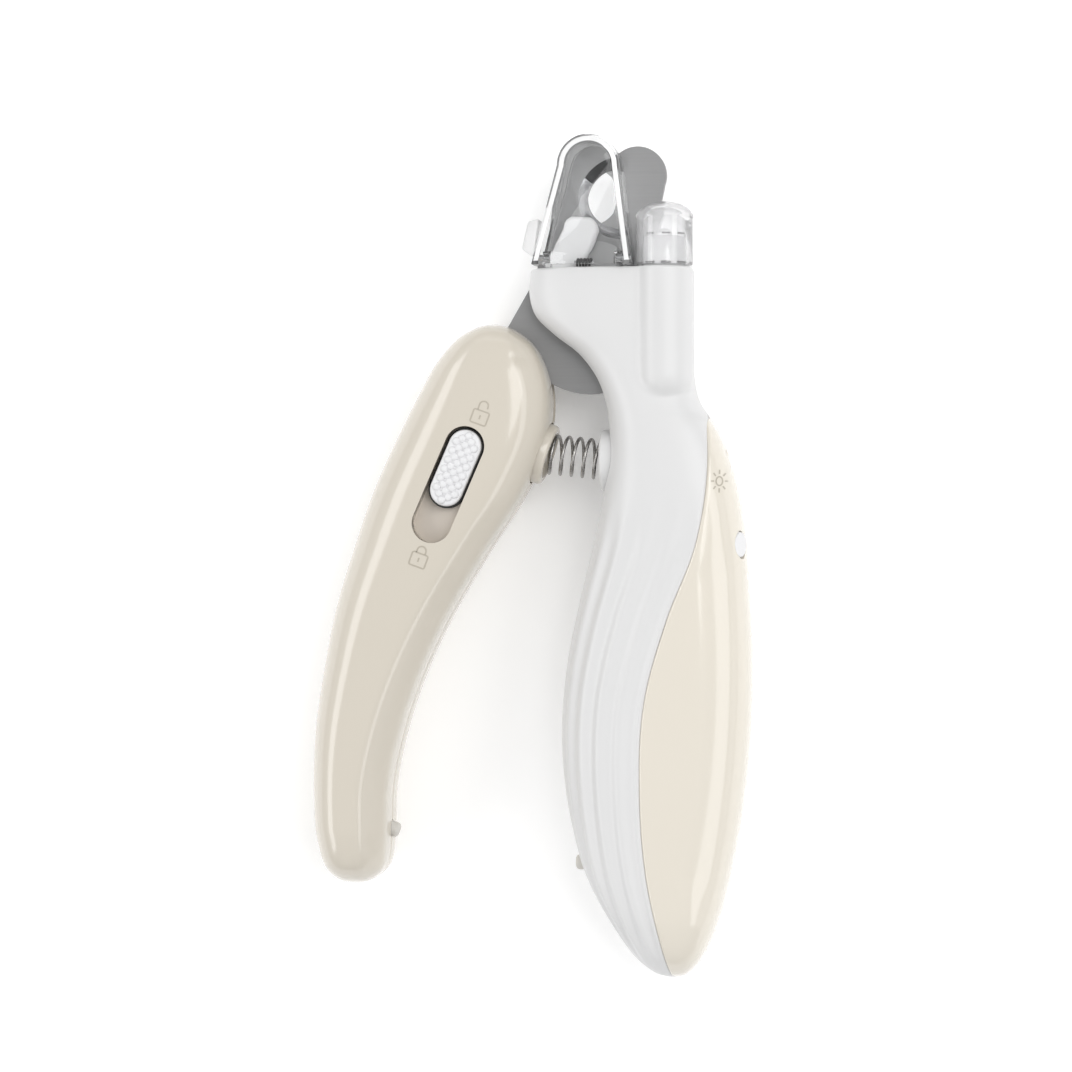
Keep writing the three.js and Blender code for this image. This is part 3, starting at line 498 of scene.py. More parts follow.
def moulded_plastic_group():
    """Colour drift, uneven gloss and a fine moulded texture."""
    group, given, result = new_group("Moulded plastic", [
        ("Tone", "NodeSocketColor", (0.8, 0.8, 0.8, 1)),
        ("Second tone", "NodeSocketColor", (0.75, 0.75, 0.75, 1)),
        ("Least roughness", "NodeSocketFloat", 0.2),
        ("Most roughness", "NodeSocketFloat", 0.3),
        ("Texture scale", "NodeSocketFloat", 5200.0),
    ], [("Colour", "NodeSocketColor"), ("Roughness", "NodeSocketFloat"), ("Height", "NodeSocketFloat")])
    place = put(group, "ShaderNodeTexCoord").outputs["Object"]
    drift = noise_at(group, place, 28.0, 2.0)
    mix = put(group, "ShaderNodeMix", data_type="RGBA")
    group.links.new(remap(group, drift, 0.0, 1.0), mix.inputs["Factor"])
    group.links.new(given.outputs["Tone"], mix.inputs["A"])
    group.links.new(given.outputs["Second tone"], mix.inputs["B"])
    group.links.new(mix.outputs["Result"], result.inputs["Colour"])
    handling = noise_at(group, place, 110.0, 4.0, 0.65)
    gloss = remap(group, handling, given.outputs["Least roughness"], given.outputs["Most roughness"])
    group.links.new(gloss, result.inputs["Roughness"])
    fine = put(group, "ShaderNodeTexNoise", Detail=2.0)
    group.links.new(place, fine.inputs["Vector"])
    group.links.new(given.outputs["Texture scale"], fine.inputs["Scale"])
    group.links.new(fine.outputs["Fac"], result.inputs["Height"])
    return group


def ground_steel_group():
    """Long fine scratches along X of the mapping, with soft cloudy patches."""
    group, given, result = new_group("Ground steel", [
        ("Tone", "NodeSocketColor", (0.4, 0.4, 0.4, 1)),
        ("Second tone", "NodeSocketColor", (0.3, 0.3, 0.3, 1)),
        ("Least roughness", "NodeSocketFloat", 0.25),
        ("Most roughness", "NodeSocketFloat", 0.4),
        ("Turn", "NodeSocketVector", (0.0, 0.0, 0.0)),
    ], [("Colour", "NodeSocketColor"), ("Roughness", "NodeSocketFloat"), ("Height", "NodeSocketFloat")])
    place = put(group, "ShaderNodeTexCoord").outputs["Object"]
    turn = put(group, "ShaderNodeMapping", Scale=(60.0, 2600.0, 2600.0))
    group.links.new(place, turn.inputs["Vector"])
    group.links.new(given.outputs["Turn"], turn.inputs["Rotation"])
    scratches = noise_at(group, turn.outputs["Vector"], 1.0, 3.0, 0.6)
    clouds = noise_at(group, place, 90.0, 3.0)
    both = put(group, "ShaderNodeMath", operation="MULTIPLY_ADD")
    group.links.new(scratches, both.inputs[0])
    both.inputs[1].default_value = 0.7
    group.links.new(remap(group, clouds, 0.0, 0.3), both.inputs[2])
    mix = put(group, "ShaderNodeMix", data_type="RGBA")
    group.links.new(both.outputs["Value"], mix.inputs["Factor"])
    group.links.new(given.outputs["Tone"], mix.inputs["A"])
    group.links.new(given.outputs["Second tone"], mix.inputs["B"])
    group.links.new(mix.outputs["Result"], result.inputs["Colour"])
    gloss = remap(group, both.outputs["Value"], given.outputs["Least roughness"],
                  given.outputs["Most roughness"])
    group.links.new(gloss, result.inputs["Roughness"])
    group.links.new(scratches, result.inputs["Height"])
    return group


PLASTIC_GROUP = moulded_plastic_group()
STEEL_GROUP = ground_steel_group()

# %% Materials


def surface_material(name, group, values, metallic=0.0, bump=0.1, bump_distance=0.00002, **shader):
    """A Principled material fed by one of the shared groups."""
    material = bpy.data.materials.new(name)
    material.use_nodes = True
    tree = material.node_tree
    principled = tree.nodes["Principled BSDF"]
    principled.inputs["Metallic"].default_value = metallic
    for socket, value in shader.items():
        principled.inputs[socket.replace("_", " ")].default_value = value
    effect = tree.nodes.new("ShaderNodeGroup")
    effect.node_tree = group
    for socket, value in values.items():
        effect.inputs[socket].default_value = value
    tree.links.new(effect.outputs["Colour"], principled.inputs["Base Color"])
    tree.links.new(effect.outputs["Roughness"], principled.inputs["Roughness"])
    relief = put(tree, "ShaderNodeBump", Strength=bump, Distance=bump_distance)
    tree.links.new(effect.outputs["Height"], relief.inputs["Height"])
    tree.links.new(relief.outputs["Normal"], principled.inputs["Normal"])
    material.diffuse_color = values["Tone"]
    return material


def plastic(name, tone, second, rough, **more):
    """Moulded plastic from two tones and a roughness range."""
    values = {"Tone": (*tone, 1), "Second tone": (*second, 1),
              "Least roughness": rough[0], "Most roughness": rough[1]}
    return surface_material(name, PLASTIC_GROUP, values, **more)


def steel(name, tone, second, rough, turn_degrees=0.0, **more):
    """Ground steel with its scratches turned about Z."""
    values = {"Tone": (*tone, 1), "Second tone": (*second, 1), "Least roughness": rough[0],
              "Most roughness": rough[1], "Turn": (0, 0, math.radians(turn_degrees))}
    return surface_material(name, STEEL_GROUP, values, metallic=1.0, **more)


def clear_plastic(name, tint, rough, through=1.0, edge=0.4):
    """Clear polished plastic with faint handling marks; its colour is darkened where it is seen edge on, as a
    painted dark edge.
    """
    material = bpy.data.materials.new(name)
    material.use_nodes = True
    tree = material.node_tree
    principled = tree.nodes["Principled BSDF"]
    principled.inputs["Transmission Weight"].default_value = through
    principled.inputs["IOR"].default_value = 1.47
    principled.inputs["Metallic"].default_value = 0.0
    place = put(tree, "ShaderNodeTexCoord").outputs["Object"]
    tree.links.new(remap(tree, noise_at(tree, place, 160.0, 4.0), rough[0], rough[1]),
                   principled.inputs["Roughness"])
    mix = put(tree, "ShaderNodeMix", data_type="RGBA")
    tree.links.new(noise_at(tree, place, 40.0), mix.inputs["Factor"])
    mix.inputs["A"].default_value = (*tint, 1)
    mix.inputs["B"].default_value = (*[c * 0.985 for c in tint], 1)
    # Where the surface is seen edge on, its colour is mixed toward a darker tint. This is painted shade standing
    # for the dark surroundings seen in the edges of clear plastic, not a tint of the plastic.
    rim = put(tree, "ShaderNodeLayerWeight", Blend=0.32)
    painted_dark_edge = put(tree, "ShaderNodeMix", data_type="RGBA")
    tree.links.new(rim.outputs["Facing"], painted_dark_edge.inputs["Factor"])
    tree.links.new(mix.outputs["Result"], painted_dark_edge.inputs["A"])
    painted_dark_edge.inputs["B"].default_value = (*[c * edge for c in tint], 1)
    tree.links.new(painted_dark_edge.outputs["Result"], principled.inputs["Base Color"])
    path = put(tree, "ShaderNodeLightPath")
    open_air = put(tree, "ShaderNodeBsdfTransparent")
    either = put(tree, "ShaderNodeMixShader")
    tree.links.new(path.outputs["Is Shadow Ray"], either.inputs["Fac"])
    tree.links.new(principled.outputs["BSDF"], either.inputs[1])
    tree.links.new(open_air.outputs["BSDF"], either.inputs[2])
    tree.links.new(either.outputs["Shader"], tree.nodes["Material Output"].inputs["Surface"])
    return material


WHITE = plastic("White moulded plastic", (0.70, 0.70, 0.70), (0.675, 0.675, 0.675), (0.33, 0.42), bump=0.03)
CREAM = plastic("Glossy cream plastic", (0.63, 0.583, 0.503), (0.61, 0.565, 0.486), (0.12, 0.20), bump=0.03,
                Coat_Weight=0.4, Coat_Roughness=0.08)
# The cover uses a lighter copy of the lever's cream. The difference is painted light, because the cover catches
# more light than the lever.
COVER_CREAM_PAINTED_LIGHTER = plastic("Glossy cream cover, painted lighter", (0.738, 0.691, 0.605), (0.715, 0.669, 0.584), (0.10, 0.18),
                      bump=0.03,
                      Coat_Weight=0.4, Coat_Roughness=0.06)
# The nail stop's white is darker than the other whites: painted shade for its place under the clear guard, whose
# own shadow is let through.
STOP_WHITE_PAINTED_SHADE = plastic("White stop plastic, painted shade", (0.6, 0.6, 0.605), (0.575, 0.575, 0.58), (0.3, 0.42), bump=0.04)
MATTE_WHITE = plastic("Matte white plastic", (0.78, 0.78, 0.79), (0.74, 0.74, 0.75), (0.38, 0.5), bump=0.08)
BLACK = plastic("Matt black plastic", (0.012, 0.012, 0.012), (0.02, 0.02, 0.02), (0.4, 0.55), bump=0.1)
TAUPE = plastic("Grey brown slot floor", (0.70, 0.64, 0.57), (0.66, 0.60, 0.535), (0.4, 0.55), bump=0.15)
RUBBER = plastic("Pale rubber", (0.64, 0.62, 0.58), (0.6, 0.58, 0.54), (0.6, 0.75), bump=0.3)
PRINT = plastic("Grey brown printing", (0.47, 0.43, 0.36), (0.42, 0.38, 0.31), (0.35, 0.5), bump=0.05)
BOARD = plastic("Green circuit board", (0.03, 0.16, 0.06), (0.02, 0.11, 0.04), (0.3, 0.45), bump=0.2)
BLADE = steel("Ground blade steel", (0.345, 0.345, 0.347), (0.315, 0.315, 0.317), (0.46, 0.56), 80)
FIXED_STEEL = steel("Satin blade steel", (0.27, 0.27, 0.272), (0.24, 0.24, 0.242), (0.46, 0.56), 100)
# Bright, smooth steel for the notches' ground cones: partly their real polish, partly a painted highlight.
POLISHED_EDGE_AND_HIGHLIGHT = steel("Sharpened edge steel with painted highlight", (0.55, 0.55, 0.56), (0.4, 0.4, 0.41), (0.12, 0.24), 30)
BRIGHT = steel("Polished steel", (0.62, 0.62, 0.63), (0.5, 0.5, 0.51), (0.14, 0.26), 0)
SPRING_STEEL = steel("Spring wire", (0.42, 0.41, 0.40), (0.3, 0.29, 0.28), (0.2, 0.34), 45)
CLEAR = clear_plastic("Clear guard plastic", (0.985, 0.99, 0.99), (0.015, 0.05), 1.0, 0.12)
LENS = clear_plastic("Pearly lens plastic", (0.93, 0.93, 0.935), (0.04, 0.10), 0.8, 0.5)
FROST = clear_plastic("Frosted tab plastic", (0.82, 0.82, 0.82), (0.25, 0.4), 0.6, 0.6)
# A whitish, partly clear finish for the strip along the guard's front edge, which is a painted highlight.
PAINTED_HIGHLIGHT_RIM = clear_plastic("Painted highlight rim plastic", (0.99, 0.99, 0.99), (0.10, 0.18), 0.35, 0.25)
# The lamp holder is white plastic given a darker tone: painted shade for its place inside the lamp cap, whose own
# shadow is let through.
HOLDER_WHITE_PAINTED_SHADE = plastic("Lamp holder white, painted shade", (0.53, 0.53, 0.535), (0.50, 0.50, 0.505), (0.4, 0.5), bump=0.03)
# Near-black steel laid on the top of each notch's ground cone by position: a painted dark reflection.
PAINTED_DARK_REFLECTION = steel("Painted dark reflection steel", (0.07, 0.07, 0.072), (0.035, 0.035, 0.036), (0.25, 0.4), 200)
print(len(bpy.data.materials), "materials")

# %% [markdown]
# ## The lever
#
# The lever is one smooth loft, moulded as a front and a back half. The inner edge, which faces the grip, is
# drawn with a higher section power than the outer one, so it turns more tightly and shows a crisp line of
# light.

# %% Lever halves
LEVER_RINGS = 150
lever_places = (1 - np.cos(np.linspace(0, math.pi, LEVER_RINGS))) / 2
lever_places = (0.55 * lever_places + 0.45 * np.linspace(0, 1, LEVER_RINGS)) * (len(LEVER_STATIONS) - 1)
lever_rings = []
for place, values in zip(lever_places, smooth_through(LEVER_STATIONS, lever_places)):
    from_top = min(max((place - 0.6) / 2.2, 0), 1)
    from_tip = min(max((len(LEVER_STATIONS) - 1.6 - place) / 1.6, 0), 1)
    crease = 4.3 * from_top * from_tip
    lever_rings.append(Ring(values[0:2], values[2:4], values[4], (2.5, 3.4), crease=crease, drop=0.42))


def lever_half(name, start, end):
    """The front or the back half of the lever."""
    grids = [sector(ring, start, end, 76, 0.22) for ring in lever_rings]
    return shell(name, np.array([grid[0] for grid in grids]), np.array([grid[1] for grid in grids]))


lever_front = lever_half("lever_front", math.pi, 0)
lever_back = lever_half("lever_back", 0, -math.pi)


def tree_of(piece):
    """A lookup of the piece's surface, for laying details on it."""
    return BVHTree.FromPolygons([v.co.copy() for v in piece.data.vertices],
                                [tuple(p.vertices) for p in piece.data.polygons])


lever_surface = tree_of(lever_front)


def height_over(surface, x, y):
    """The level of a surface at a place, seen from above, in millimetres."""
    hit = surface.ray_cast(Vector((x * MM, y * MM, 0.1)), Vector((0, 0, -1)))[0]
    return hit.z / MM


print("lever front:", len(lever_front.data.polygons), "faces")

# %% [markdown]
# ## Opening up the lever
#
# The lock slides in a rounded slot that is sunk into the front half. The cutter is a bar with round ends,
# and the same bar, made wider or narrower, gives the floor plate, the black carriage and the white slider,
# so the lock's parts share one middle line. The other cutters are the blade's mouth, the spring boss and
# the screw wells.

# %% The slot's middle line
SLOT_TOP = np.array([-20.9, down(19.8)])
SLOT_WAY = np.array([-0.398, -0.917])
SLOT_RADIUS, SLOT_LENGTH, LOCK_TRAVEL = 3.56, 14.7, 6.4
SLIDER_LENGTH = SLOT_LENGTH - LOCK_TRAVEL
SLOT_FLOOR = box_mm("slot_plate")[1][2]
LEVER_SCREWS = {"lever_screw_1": (-38.6, down(49)), "lever_screw_2": (-42.4, down(75))}
GRIP_SCREWS = {"grip_screw_1": (9.5, down(16.8)), "grip_screw_2": (12, down(31.5)),
               "grip_screw_3": (4, down(79))}
LEVER_SEAT, LEVER_SEAT_WAY = (-7.1, down(21.1), MIDDLE), (math.cos(CLOSE_ANGLE), -math.sin(CLOSE_ANGLE), 0)
GRIP_SEAT, GRIP_SEAT_WAY = (2.1, down(21.8), MIDDLE), (-1, 0, 0)
LEVER_BUMPER = (-34.4, down(78.4), MIDDLE)
GRIP_BUMPER = (-2.4, down(82.8), MIDDLE)


def slot_outline(start, end, radius, steps=24):
    """A round-ended bar along the slot, between two distances."""
    turn = math.degrees(math.atan2(SLOT_WAY[1], SLOT_WAY[0]))
    first, last = SLOT_TOP + SLOT_WAY * start, SLOT_TOP + SLOT_WAY * end
    return arc(last, radius, turn - 90, turn + 90, steps) + arc(first, radius, turn + 90, turn + 270, steps)


def along(point, way, distance):
    """A point moved along a way."""
    return tuple(np.array(point) + np.array(way) * distance)


def seat_hole(name, seat, way, radius=5.8):
    """The round hole that a shell leaves for a spring boss."""
    return rod(name, along(seat, way, -5.3), along(seat, way, 6), radius)


def well(name, place, head=2.5, depth=3.1):
    """The well that a screw's head sits in, from the back."""
    return post(name, *place, head, -1, depth, 40)


# %% Cut the lever halves
mouth_outline = [(-26, 6), (4, 6), (6, down(12)), (-10.2, down(17)), (-12, down(14)), (-22, down(4))]
FORK_LOW, FORK_HIGH = MOVING_LOW - 0.3, FIXED_HIGH + 1.4
combine(lever_front, [
    prism("slot_cut", slot_outline(0, SLOT_LENGTH, SLOT_RADIUS), SLOT_FLOOR - 4, 40),
    prism("mouth_cut", mouth_outline, FORK_LOW, MOVING_HIGH + 0.3),
    seat_hole("seat_cut", LEVER_SEAT, LEVER_SEAT_WAY),
    rod("bumper_cut", along(LEVER_BUMPER, LEVER_SEAT_WAY, -4), along(LEVER_BUMPER, LEVER_SEAT_WAY, 2), 1.5),
])
combine(lever_back, [
    prism("mouth_cut", mouth_outline, FORK_LOW, MOVING_HIGH + 0.3),
    seat_hole("seat_cut", LEVER_SEAT, LEVER_SEAT_WAY),
    rod("bumper_cut", along(LEVER_BUMPER, LEVER_SEAT_WAY, -4), along(LEVER_BUMPER, LEVER_SEAT_WAY, 2), 1.5),
    *[well("well", place) for place in LEVER_SCREWS.values()],
])
finish_piece(lever_front, CREAM, "lever", "lever_front_shell", slot="cream")
finish_piece(lever_back, CREAM, "lever", "lever_back_shell", slot="cream")
print("lever halves:", len(lever_front.data.polygons), len(lever_back.data.polygons), "faces")

# %% [markdown]
# ## The slot's lining and the lock
#
# Looking into the slot you see a collar, a floor plate in grey brown, a thin black line round the slider,
# and the slider's raised dots. The collar is a thin wall just outside the slot. The dots are a lattice of
# small domes, which Geometry Nodes set out from a grid, so their pitch and size are two inputs.

# %% Collar and floor plate
collar_outer = slot_outline(0, SLOT_LENGTH, SLOT_RADIUS + 0.9)
collar_inner = slot_outline(0, SLOT_LENGTH, SLOT_RADIUS)


def ring_wall(name, outside, inside, low, high_of):
    """A wall between two outlines, whose top follows a level that is looked up at every point."""
    count = len(outside)
    vertices = [(x, y, low) for x, y in outside] + [(x, y, high_of(x, y)) for x, y in outside]
    vertices += [(x, y, high_of(x, y)) for x, y in inside] + [(x, y, low) for x, y in inside]
    faces = []
    for layer in range(4):
        here, there = layer * count, (layer + 1) % 4 * count
        faces += [(here + i, here + (i + 1) % count, there + (i + 1) % count, there + i)
                  for i in range(count)]
    return make_piece(name, vertices, faces)


slot_collar = ring_wall("slot_collar", collar_outer, collar_inner, SLOT_FLOOR - 0.6,
                        lambda x, y: height_over(lever_surface, x, y) - 0.25)
finish_piece(slot_collar, CREAM, "lever", slot="cream", angle=50)
plate_outline = slot_outline(-1.2, SLOT_LENGTH + 1.2, SLOT_RADIUS + 1.0)
slot_plate = prism("slot_floor", plate_outline, SLOT_FLOOR - 1, SLOT_FLOOR)
soften(slot_plate, 0.1, 2)
finish_piece(slot_plate, TAUPE, "lever", "slot_plate", slot="taupe")
print("slot floor at", round(SLOT_FLOOR, 2), "mm")

# %% Carriage, slider and bolt strip
carriage = prism("carriage", slot_outline(0, SLIDER_LENGTH, SLOT_RADIUS - 0.26), SLOT_FLOOR + 0.3,
                 SLOT_FLOOR + 2.0)
soften(carriage, 0.2)
finish_piece(carriage, BLACK, "lock", "lock_carriage", slot="black")
SLIDER_TOP = THICKNESS - 0.35
slider = prism("slider", slot_outline(0, SLIDER_LENGTH, SLOT_RADIUS - 0.62), SLOT_FLOOR + 1.2, SLIDER_TOP)
soften(slider, 0.5, 4)
finish_piece(slider, MATTE_WHITE, "lock", "lock_slider", slot="white")
bolt_strip = prism("bolt_strip", slot_outline(-3, SLIDER_LENGTH, 2.4), SLOT_FLOOR - 2.9, SLOT_FLOOR - 1.9)
soften(bolt_strip, 0.15)
finish_piece(bolt_strip, BRIGHT, "lock", "lock_bolt", slot="steel")
print("slider top at", round(SLIDER_TOP, 2), "mm")

# %% [markdown]
# ## A small kit for Geometry Nodes
#
# These helpers keep each tree to the nodes that matter. Inputs are set through their socket identifiers
# before Blender evaluates the object, and the result is taken out as a plain mesh, so nothing stays live.

# %% Geometry Nodes helpers


def node_tree(name, inputs):
    """A geometry node group with named inputs, and its two ends."""
    tree = bpy.data.node_groups.new(name, "GeometryNodeTree")
    tree.interface.new_socket("Geometry", in_out="INPUT", socket_type="NodeSocketGeometry")
    for label, kind, value in inputs:
        made = tree.interface.new_socket(label, in_out="INPUT", socket_type=kind)
        if value is not None:
            made.default_value = value
    tree.interface.new_socket("Geometry", in_out="OUTPUT", socket_type="NodeSocketGeometry")
    given = tree.nodes.new("NodeGroupInput").outputs
    return tree, given, tree.nodes.new("NodeGroupOutput").inputs["Geometry"]


def place_node(tree, kind, links=(), **settings):
    """A node with settings, and links given as (input, source socket) pairs."""
    node = put(tree, kind, **settings)
    for socket, source in links:
        tree.links.new(source, node.inputs[socket])
    return node


def close_tree(tree, geometry, given, result):
    """Realizes instances and sets the material, which every tree here ends with."""
    real = place_node(tree, "GeometryNodeRealizeInstances", [("Geometry", geometry)])
    skin = place_node(tree, "GeometryNodeSetMaterial",
                      [("Geometry", real.outputs["Geometry"]), ("Material", given["Material"])])
    tree.links.new(skin.outputs["Geometry"], result)


def grow(name, tree, at=(), **values):
    """Runs a tree on an empty mesh, or on points, and returns the plain result."""
    piece = bpy.data.objects.new(name, bpy.data.meshes.new(name))
    piece.data.from_pydata(list(at), [], [])
    bpy.context.scene.collection.objects.link(piece)
    modifier = piece.modifiers.new("Tree", "NODES")
    modifier.node_group = tree
    for item in tree.interface.items_tree:
        if item.in_out == "INPUT" and item.name in values:
            modifier[item.identifier] = values[item.name]
    apply_modifiers(piece)
    body = bmesh.new()
    body.from_mesh(piece.data)
    bmesh.ops.remove_doubles(body, verts=body.verts, dist=1e-7)
    bmesh.ops.recalc_face_normals(body, faces=body.faces)
    body.to_mesh(piece.data)
    body.free()
    return piece


def bake_place(piece, matrix):
    """Moves the mesh itself, so the object stays at the origin."""
    piece.data.transform(matrix)
    piece.data.update()
    return piece


# %% The dot lattice on the slider
dots, given, result = node_tree("Raised dots", [
    ("Pitch", "NodeSocketFloat", 0.001), ("Columns", "NodeSocketInt", 5), ("Rows", "NodeSocketInt", 9),
    ("Dot radius", "NodeSocketFloat", 0.0004), ("Half width", "NodeSocketFloat", 0.002),
    ("Half length", "NodeSocketFloat", 0.005), ("Material", "NodeSocketMaterial", None)])


def math_node(tree, operation, first, second):
    """One Math node whose operands are sockets or numbers."""
    node = put(tree, "ShaderNodeMath", operation=operation)
    for slot, operand in enumerate((first, second)):
        if isinstance(operand, (int, float)):
            node.inputs[slot].default_value = operand
        else:
            tree.links.new(operand, node.inputs[slot])
    return node.outputs["Value"]


def lattice(shift):
    """A grid of points; the second one is shifted by half a pitch, which makes diagonals."""
    size_x = math_node(dots, "MULTIPLY", given["Pitch"], given["Columns"])
    size_y = math_node(dots, "MULTIPLY", given["Pitch"], given["Rows"])
    count_x = math_node(dots, "ADD", given["Columns"], 1)
    count_y = math_node(dots, "ADD", given["Rows"], 1)
    grid = place_node(dots, "GeometryNodeMeshGrid", [("Size X", size_x), ("Size Y", size_y),
                                                     ("Vertices X", count_x), ("Vertices Y", count_y)])
    offset = math_node(dots, "MULTIPLY", given["Pitch"], shift)
    vector = place_node(dots, "ShaderNodeCombineXYZ", [("X", offset), ("Y", offset)])
    moved = place_node(dots, "GeometryNodeTransform", [("Geometry", grid.outputs["Mesh"]),
                                                       ("Translation", vector.outputs["Vector"])])
    return moved.outputs["Geometry"]


both = place_node(dots, "GeometryNodeJoinGeometry")
dots.links.new(lattice(0.0), both.inputs["Geometry"])
dots.links.new(lattice(0.5), both.inputs["Geometry"])
position = place_node(dots, "GeometryNodeInputPosition").outputs["Position"]
parts = place_node(dots, "ShaderNodeSeparateXYZ", [("Vector", position)])
beyond_straight = math_node(dots, "SUBTRACT", math_node(dots, "ABSOLUTE", parts.outputs["Y"], 0),
                            math_node(dots, "SUBTRACT", given["Half length"], given["Half width"]))
rounded = math_node(dots, "MAXIMUM", beyond_straight, 0)
squares = math_node(dots, "ADD", math_node(dots, "POWER", parts.outputs["X"], 2),
                    math_node(dots, "POWER", rounded, 2))
distance = math_node(dots, "SQRT", squares, 0)
outside = place_node(dots, "FunctionNodeCompare", [("A", distance), ("B", given["Half width"])],
                     data_type="FLOAT", operation="GREATER_THAN")
kept = place_node(dots, "GeometryNodeDeleteGeometry",
                  [("Geometry", both.outputs["Geometry"]), ("Selection", outside.outputs["Result"])])
dome = place_node(dots, "GeometryNodeMeshUVSphere", [("Radius", given["Dot radius"])], Segments=10, Rings=6)
flat_dome = place_node(dots, "GeometryNodeTransform", [("Geometry", dome.outputs["Mesh"])],
                       Scale=(1, 1, 0.55))
spread = place_node(dots, "GeometryNodeInstanceOnPoints",
                    [("Points", kept.outputs["Geometry"]), ("Instance", flat_dome.outputs["Geometry"])])
close_tree(dots, spread.outputs["Instances"], given, result)
slider_dots = grow("slider_dots", dots, **{
    "Pitch": 1.75 * MM, "Columns": 4, "Rows": 9, "Dot radius": 0.74 * MM,
    "Half width": (SLOT_RADIUS - 1.35) * MM, "Half length": (SLIDER_LENGTH / 2 + SLOT_RADIUS - 1.35) * MM,
    "Material": MATTE_WHITE})
slider_middle = SLOT_TOP + SLOT_WAY * SLIDER_LENGTH / 2
slot_turn = math.atan2(SLOT_WAY[1], SLOT_WAY[0]) + math.pi / 2
bake_place(slider_dots, Matrix.Translation(Vector((*slider_middle, SLIDER_TOP)) * MM)
           @ Matrix.Rotation(slot_turn, 4, "Z"))
finish_piece(slider_dots, MATTE_WHITE, "lock", slot="white", angle=80)
print("slider dots:", len(slider_dots.data.polygons), "faces")

# %% [markdown]
# ## The grip
#
# The grip has three mouldings: a white front with long flutes, a white back, and a glossy cream cover that
# wraps the spine. Where the front meets the cover is a seam drawn as a curve, so each ring is split at the
# angle where it crosses that curve. The lamp's barrel melts into the head through a smooth minimum of the
# two shapes, which gives the soft valley beside it.

# %% Grip rings
HEAD_ROUND = 0.55
grip_dense = smooth_through(GRIP_STATIONS, np.linspace(0, len(GRIP_STATIONS) - 1, 4000))
grip_depth = np.maximum.accumulate(HEAD_TOP - grip_dense[:, 2])
grip_depth += np.linspace(0, 1e-6, len(grip_depth))
tip_part = grip_dense[grip_dense[:, 2] < -98]
tip_steps = np.abs(np.diff(tip_part, axis=0)).max(axis=1)
tip_places = np.interp(np.linspace(0, tip_steps.sum(), 34), np.concatenate([[0], np.cumsum(tip_steps)]),
                       tip_part[:, 2])
turn_angles = np.radians([90, 72, 54, 36, 18])
grip_levels = [(HEAD_TOP - HEAD_ROUND * (1 - math.sin(a)), HEAD_ROUND * (1 - math.cos(a)))
               for a in turn_angles]
grip_levels += [(y, 0.0) for y in np.arange(HEAD_TOP - HEAD_ROUND, -9.9, -0.9)]
grip_levels += [(y, 0.0) for y in np.arange(-10.2, -16.6, -0.32)]
grip_levels += [(y, 0.0) for y in np.arange(-17.0, -26.0, -0.6)]
grip_levels += [(y, 0.0) for y in np.arange(-26.6, -97.4, -1.3)]
grip_levels += [(y, 0.0) for y in tip_places]


def barrel_radius(y):
    """The lamp barrel's radius, which closes as a ball at its lower end."""
    ball_centre = BARREL_END + LAMP_RADIUS
    if y >= ball_centre:
        return LAMP_RADIUS
    return math.sqrt(max(LAMP_RADIUS**2 - (ball_centre - y) ** 2, 0.0))


def grip_ring(y):
    """The grip's section at one level."""
    left, right, half = (np.interp(HEAD_TOP - y, grip_depth, grip_dense[:, k]) for k in (0, 1, 3))
    crease = 7.2 * min(max((-24 - y) / 22, 0), 1) * min(max((y + 113) / 14, 0), 1)
    return Ring((left, y), (right, y), half, (2.6, 3.1), barrel_radius(y), crease, 0.3)


FRONT_SEAM = [(21.2, 12), (22.0, 23.3), (20.0, 34.6), (14.8, 46), (10.8, 58.2), (10.0, 72), (11.1, 84),
              (13.5, 94),
              (15.5, 101)]
BACK_SEAM = [(21.2, 12), (21.4, 23.3), (20.4, 40), (19.6, 60), (18.6, 78), (16.6, 93), (15.4, 101)]


def seam_curve(points):
    """A seam as X read at any Y."""
    curve = smooth_through([(x, down(percent)) for x, percent in points],
                           np.linspace(0, len(points) - 1, 400))
    return lambda y: float(np.interp(-y, -curve[:, 1], curve[:, 0]))


front_seam, back_seam = seam_curve(FRONT_SEAM), seam_curve(BACK_SEAM)


def seam_angle(ring, y, seam):
    """The direction, from the section's centre, in which the seam crosses the front face."""
    share = (seam(y) - ring.centre[0]) / ring.width
    if share >= 1:
        return 0.0
    share = max(share, -0.97)
    power = ring.powers[1] if share > 0 else ring.powers[0]
    height = ring.half * (1 - abs(share) ** power) ** (1 / power)
    return math.atan2(height, share * ring.width)


print(len(grip_levels), "rings on the grip")

# %% Flutes on the white front
FLUTES, FLUTE_DEPTH = 6, 0.46


def flutes_at(y):
    """How far the flutes press in, as a function of the share of the way round the white front."""
    fade = min(max((-30.0 - y) / 16, 0), 1) * min(max((y + 116.5) / 8, 0), 1)
    fade = fade * fade * (3 - 2 * fade)

    def press(share, total):
        edge = np.clip(share / 0.16, 0, 1) * np.clip((1 - share) / 0.05, 0, 1)
        wave = np.cos(2 * math.pi * FLUTES * share**0.92)
        return FLUTE_DEPTH * fade * edge * min(1, total / 14) * (wave - 1) / 2

    return press


HEAD_WALL = 9.5


def grip_wall(y):
    """The head is nearly solid, to hold the pivot; the handle below it is a thin shell."""
    share = min(max((y + 26) / 8, 0), 1)
    return 2.0 + (HEAD_WALL - 2.0) * share


